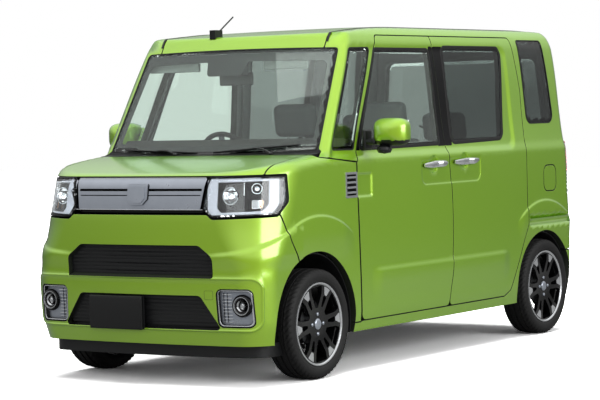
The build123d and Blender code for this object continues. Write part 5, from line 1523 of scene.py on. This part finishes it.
cup = Sheet([flap_ring], "side", thick=3, roll=0.5, gap=-6, depth=38)
put(cup, "fuel_filler_cup", "body", [SATIN_BLACK, UNDERSEAL])
CAP = [(0, 30), (24, 30), (30, 26), (32, 4), (32, 0), (0, 0)]
cap = Build().add(lathe(CAP, (695, 1371, 922), X, 32)).add(block((722, 1341, 917), (730, 1401, 927), 3))
put(cap, "fuel_filler_cap", "body", [SATIN_BLACK])

# ---------------------------------------------------------------- rear
CLEAR_BELOW_Z = 955
lens = Sheet([tail_lamp_ring()], "tail", thick=3, spacing=20, roll=3, gap=2, depth=-3)
lens.colour(lambda p: p[:, 2] < CLEAR_BELOW_Z, 1)
put(lens, "tail_lamp_lens_*", "body", [RED_LENS, LENS], "tail_lamps", slot="red_lens")
bowl = Sheet([tail_lamp_ring()], "tail", thick=4, spacing=20, roll=1, gap=3, depth=26)
put(bowl, "tail_lamp_bowl_*", "body", [REFLECTOR, REFLECTOR], "tail_lamps")
tail = Build()
for z in np.arange(840, 1130, 22):
    at = place([(660, z)], "back", 12)[0]
    tail.add(block(at + (-8, -5, -7), at + (44, 4, 7), 4), int(z < CLEAR_BELOW_Z))
put(tail, "tail_lamp_elements_*", "body", [RED_ELEMENTS, LIGHT_GUIDE])
rear = Build()
# Plate, handle strip and high stop lamp, then the rear wiper's arm and pivot
rear.add_blocks(((-165, 1672, 722), (165, 1684, 887), 4, 0), ((-190, 1668, 905), (190, 1692, 941), 8, 1),
                ((-150, 1640, 1668), (150, 1652, 1692), 5, 2))
REAR_ARM = ((0, 1664, 1106), (-90, 1666, 1150), (-230, 1661, 1205), (-330, 1657, 1240))
rear.add(sweep(dense(REAR_ARM, 30), round_section(14, 9, 8), Y), 3)
rear.add(lathe([(0, 14), (18, 12), (24, 4), (24, -8), (0, -8)], (0, 1662, 1104), Y, 28), 3)
rear.put("tailgate_trim", "tailgate", [BLANK_PLATE, CHROME, RED_LENS, SATIN_BLACK])
reflectors = Build()
at = place([(600, 330)], "back", -2)[0]
reflectors.add(block(at + (-52, -8, -16), at + (40, 3, 16), 5))
put(reflectors, "rear_reflectors_*", "body", [RED_LENS])

# ---------------------------------------------------------------- cabin
GROOVE_MM = 7
RECLINE = 98            # degrees from flat to a seat back


def cushion(size, radius, crown, grooves=(), spacing=14):
    """Upholstered block. Its face is z; it rises by the crown times (1 - x^2)(1 - y^2), and each
    groove (axis, place, depth) sinks it by depth times exp(-(distance / 7 mm)^2)."""
    half = np.array(size) / 2
    points, faces = block(-half, half, radius, 4, spacing)
    x, y = points[:, 0] / half[0], points[:, 1] / half[1]
    top = ramp(points[:, 2], -half[2] * 0.2, half[2])
    lift = crown * (1 - x ** 2) * (1 - y ** 2)
    for axis, middle, depth in grooves:
        lift = lift - depth * np.exp(-((points[:, axis] - middle) / GROOVE_MM) ** 2)
    points[:, 2] += top * lift
    points[:, 0] += np.sign(x) * 5 * (1 - (points[:, 2] / half[2]) ** 2) * (np.abs(x) > 0.9)
    return points, faces


def set_at(shape, centre, lean):
    """Shape tipped about X by degrees and moved."""
    c, s = math.cos(math.radians(lean)), math.sin(math.radians(lean))
    turn = np.array(((1, 0, 0), (0, c, -s), (0, s, c)))
    return shape[0] @ turn.T + centre, shape[1]


def seat(name, x, y, width, foot_z, back_top, head_top, node_name):
    """Seat of a squab, a back and head restraints on posts, over a darker base."""
    made = Build()
    third = width * 0.30
    height, centre_z = back_top - foot_z, (back_top + foot_z) / 2
    seams = ((0, -third, 9), (0, third, 9))
    squab = cushion((width, 480, 130), 40, 16, (*seams, (1, 60, 6)))
    made.add(set_at(squab, (x, y - 60, foot_z), -6))
    back = cushion((width, height, 120), 42, 14, (*seams, (1, height * 0.16, 6)))
    made.add(set_at(back, (x, y + 215, centre_z + 10), RECLINE))
    low, high = (x - width / 2 + 30, y - 230, foot_z - 150), (x + width / 2 - 30, y + 130, foot_z - 50)
    made.add(block(low, high, 16), 1)
    for offset in ((0,) if width < 700 else (-280, 280)):
        head = cushion((265, head_top - back_top - 30, 90), 38, 8, spacing=12)
        made.add(set_at(head, (x + offset, y + 236, (head_top + back_top) / 2 + 12), RECLINE))
        for post in (-55, 55):
            foot = (x + offset + post, y + 232, back_top + 10)
            made.add(lathe([(0, 60), (6, 60), (6, -60), (0, -60)], foot, Z, 12), 2)
    piece = made.put(name, "body", [SEAT_CLOTH, SEAT_PIPING, BARE_STEEL], sharp=50, replaces=[node_name],
                     slot="seat_cloth")


seat("front_seat_left", 300, -20, 500, 560, 1180, 1398, "front_seats")
seat("front_seat_right", -300, -20, 500, 560, 1180, 1398, "front_seats")
seat("rear_bench_seat", 0, 680, 1160, 560, 1130, 1328, "rear_seat")

wheel = Build()
hub, axis = np.array((-300, -455, 1085)), np.array((0, 0.906308, 0.422618))
wheel.add(lathe(circle(171, 0, 14, steps=14)[:-1], hub, axis, 72))
wheel.add(lathe([(0, 14), (40, 12), (62, 4), (70, -14), (66, -40), (0, -46)], hub - axis * 24, axis, 36), 0)
down = np.cross(axis, X)
for angle in (0, 180, 270):
    reach = X * math.cos(math.radians(angle)) + down * math.sin(math.radians(angle))
    sink = axis * 24 * (1 - np.linspace(0.2, 1, 10)[:, None])
    path = hub - sink + reach * np.linspace(50, 174, 10)[:, None]
    wheel.add(sweep(path, round_section(38, 14, 10, 3), axis), 1)
put(wheel, "steering_wheel_rim", "steering_wheel", [DASH_SKIN, SATIN_SILVER], "steering_wheel",
    slot="interior")

cabin = Build()
pod = facing("front", -56, 1600, 40, 0)[0]
# Camera housing, mirror, two visors and a door pull
cabin.add_blocks(
    (pod + (-92, -16, -46), pod + (92, 50, 40), 14, 0), (pod + (-120, 60, -98), pod + (100, 78, -30), 9, 0),
    (pod + (200, 20, -20), pod + (480, 36, 40), 7, 1), (pod + (-560, 20, -20), pod + (-220, 36, 40), 7, 1),
    ((-640, -700, 760), (-612, 40, 880), 12, 0),
)
cabin.put("interior_mirror_and_visors", "body", [SATIN_BLACK, CABIN_PLASTIC])


# ---------------------------------------------------------------- finishes of the nodes that stay
for name, finish in (
    ("arch_liners", GRAINED), ("bulkhead", GRAINED), ("bumper_grilles", GRAINED), ("floor_pan", UNDERSEAL),
    ("engine", UNDERSEAL), ("exhaust", BARE_STEEL), ("fuel_tank", UNDERSEAL), ("front_suspension", UNDERSEAL),
    ("rear_axle", UNDERSEAL), ("knuckle_left", UNDERSEAL), ("knuckle_right", UNDERSEAL),
    ("dashboard", DASH_SKIN), ("aerial", SATIN_BLACK),
):
    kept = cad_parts[name]
    kept.data.materials.clear()
    kept.data.materials.append(finish)


# ---------------------------------------------------------------- floor, light and camera
SHOWN_GAIN, FAR_GAIN, LIT_SHARE = 2.3, 9, 0.28
GAIN_FROM_M, GAIN_TO_M = 2.2, 9
HALF_FLOOR_M = 30


def seen_directly(tree):
    """1 for what the camera sees, straight or through glass, and 0 for other light."""
    path = node(tree, "LightPath").outputs
    rays = {0: path["Is Camera Ray"], 1: path["Is Transmission Ray"]}
    return node(tree, "Math", rays, operation="MAXIMUM")


def studio_floor():
    """Matt white studio floor, brighter as it is seen, so that only the shade on it shows."""
    made, tree, principled = material("matt_studio_floor", "#F4F4F4", 1)
    principled.inputs["Specular IOR Level"].default_value = 0
    noise = object_noise(tree, 400)
    direct = seen_directly(tree)
    away = node(tree, "VectorMath", {0: node(tree, "TexCoord").outputs["Object"]}, operation="LENGTH")
    shown = node(tree, "MapRange", {"Value": away.outputs["Value"], "From Min": GAIN_FROM_M,
                                    "From Max": GAIN_TO_M, "To Min": SHOWN_GAIN, "To Max": FAR_GAIN})
    gain = node(tree, "MapRange", {"Value": direct.outputs["Value"], "To Min": LIT_SHARE,
                                   "To Max": shown.outputs["Result"]})
    grain = node(tree, "MapRange", {"Value": noise, "To Min": 0.98, "To Max": 1.02})
    white = node(tree, "Math", {0: gain.outputs["Result"], 1: grain.outputs["Result"]}, operation="MULTIPLY")
    tree.links.new(white.outputs["Value"], principled.inputs["Base Color"])
    return made


mesh = bpy.data.meshes.new("studio_floor")
corners = [(x * HALF_FLOOR_M, y * HALF_FLOOR_M, 0) for x, y in ((-1, -1), (1, -1), (1, 1), (-1, 1))]
mesh.from_pydata(corners, [], [(0, 1, 2, 3)])
mesh.materials.append(studio_floor())
floor = bpy.data.objects.new("studio_floor", mesh)
bpy.context.scene.collection.objects.link(floor)

world = bpy.data.worlds.new("studio")
bpy.context.scene.world = world
world.use_nodes = True
tree = world.node_tree
background = tree.nodes["Background"]
background.inputs["Color"].default_value = (1, 1, 1, 1)
direct = seen_directly(tree)
# Reflections see a wall that brightens from the floor to the ceiling
height = node(tree, "SeparateXYZ", {0: node(tree, "TexCoord").outputs["Generated"]}).outputs["Z"]
wall = node(tree, "MapRange", {"Value": height, "From Max": 0.55, "To Min": 0.16, "To Max": 1})
mirrored_ray = node(tree, "LightPath").outputs["Is Glossy Ray"]
glossy = node(tree, "Mix", {0: mirrored_ray, 2: 0.27, 3: wall.outputs["Result"]}, data_type="FLOAT")
strength = node(tree, "Mix", {0: direct.outputs["Value"], 2: glossy.outputs[0], 3: 1}, data_type="FLOAT")
tree.links.new(strength.outputs[0], background.inputs["Strength"])


def lamp(name, place_m, towards_m, size_m, power, mirrored=True):
    """Area lamp that faces a point, in metres and watts. It may be left out of reflections."""
    data = bpy.data.lights.new(name, "AREA")
    data.shape, data.size, data.size_y, data.energy = "RECTANGLE", size_m[0], size_m[1], power
    lit = bpy.data.objects.new(name, data)
    bpy.context.scene.collection.objects.link(lit)
    lit.location = place_m
    lit.visible_glossy = mirrored
    lit.rotation_euler = (Vector(towards_m) - Vector(place_m)).to_track_quat("-Z", "Y").to_euler()


lamp("overhead_softbox", (0, 0, 5.5), (0, 0, 0), (5, 7), 400, False)
lamp("front_softbox", (3, -8, 3.2), (0, -0.6, 0.8), (4.5, 4), 150, False)
lamp("side_softbox", (7.5, -1, 2.6), (0, 0.3, 0.8), (6, 3), 260)

CAMERA_PLACE = np.array((7094, -10815, 1384))
YAW, PITCH, ROLL = (math.radians(v) for v in (33.78, 2.34, -1.40))
PICTURE_WIDTH, FOCAL_PIXELS, SENSOR = 600, 2298, 36
look = np.array((-math.sin(YAW) * math.cos(PITCH), math.cos(YAW) * math.cos(PITCH), -math.sin(PITCH)))
right = np.cross(look, Z)
right /= np.linalg.norm(right)
up = np.cross(right, look)
c, s = math.cos(ROLL), math.sin(ROLL)
right, up = c * right + s * up, c * up - s * right
camera = bpy.data.objects.new("camera", bpy.data.cameras.new("camera"))
bpy.context.scene.collection.objects.link(camera)
camera.data.sensor_width = SENSOR
camera.data.lens = FOCAL_PIXELS / PICTURE_WIDTH * SENSOR
camera.location = CAMERA_PLACE * MM
camera.rotation_euler = Matrix([list(v) for v in zip(right, up, -look)]).to_euler()
bpy.context.scene.camera = camera
bpy.context.scene.view_settings.view_transform = "Standard"
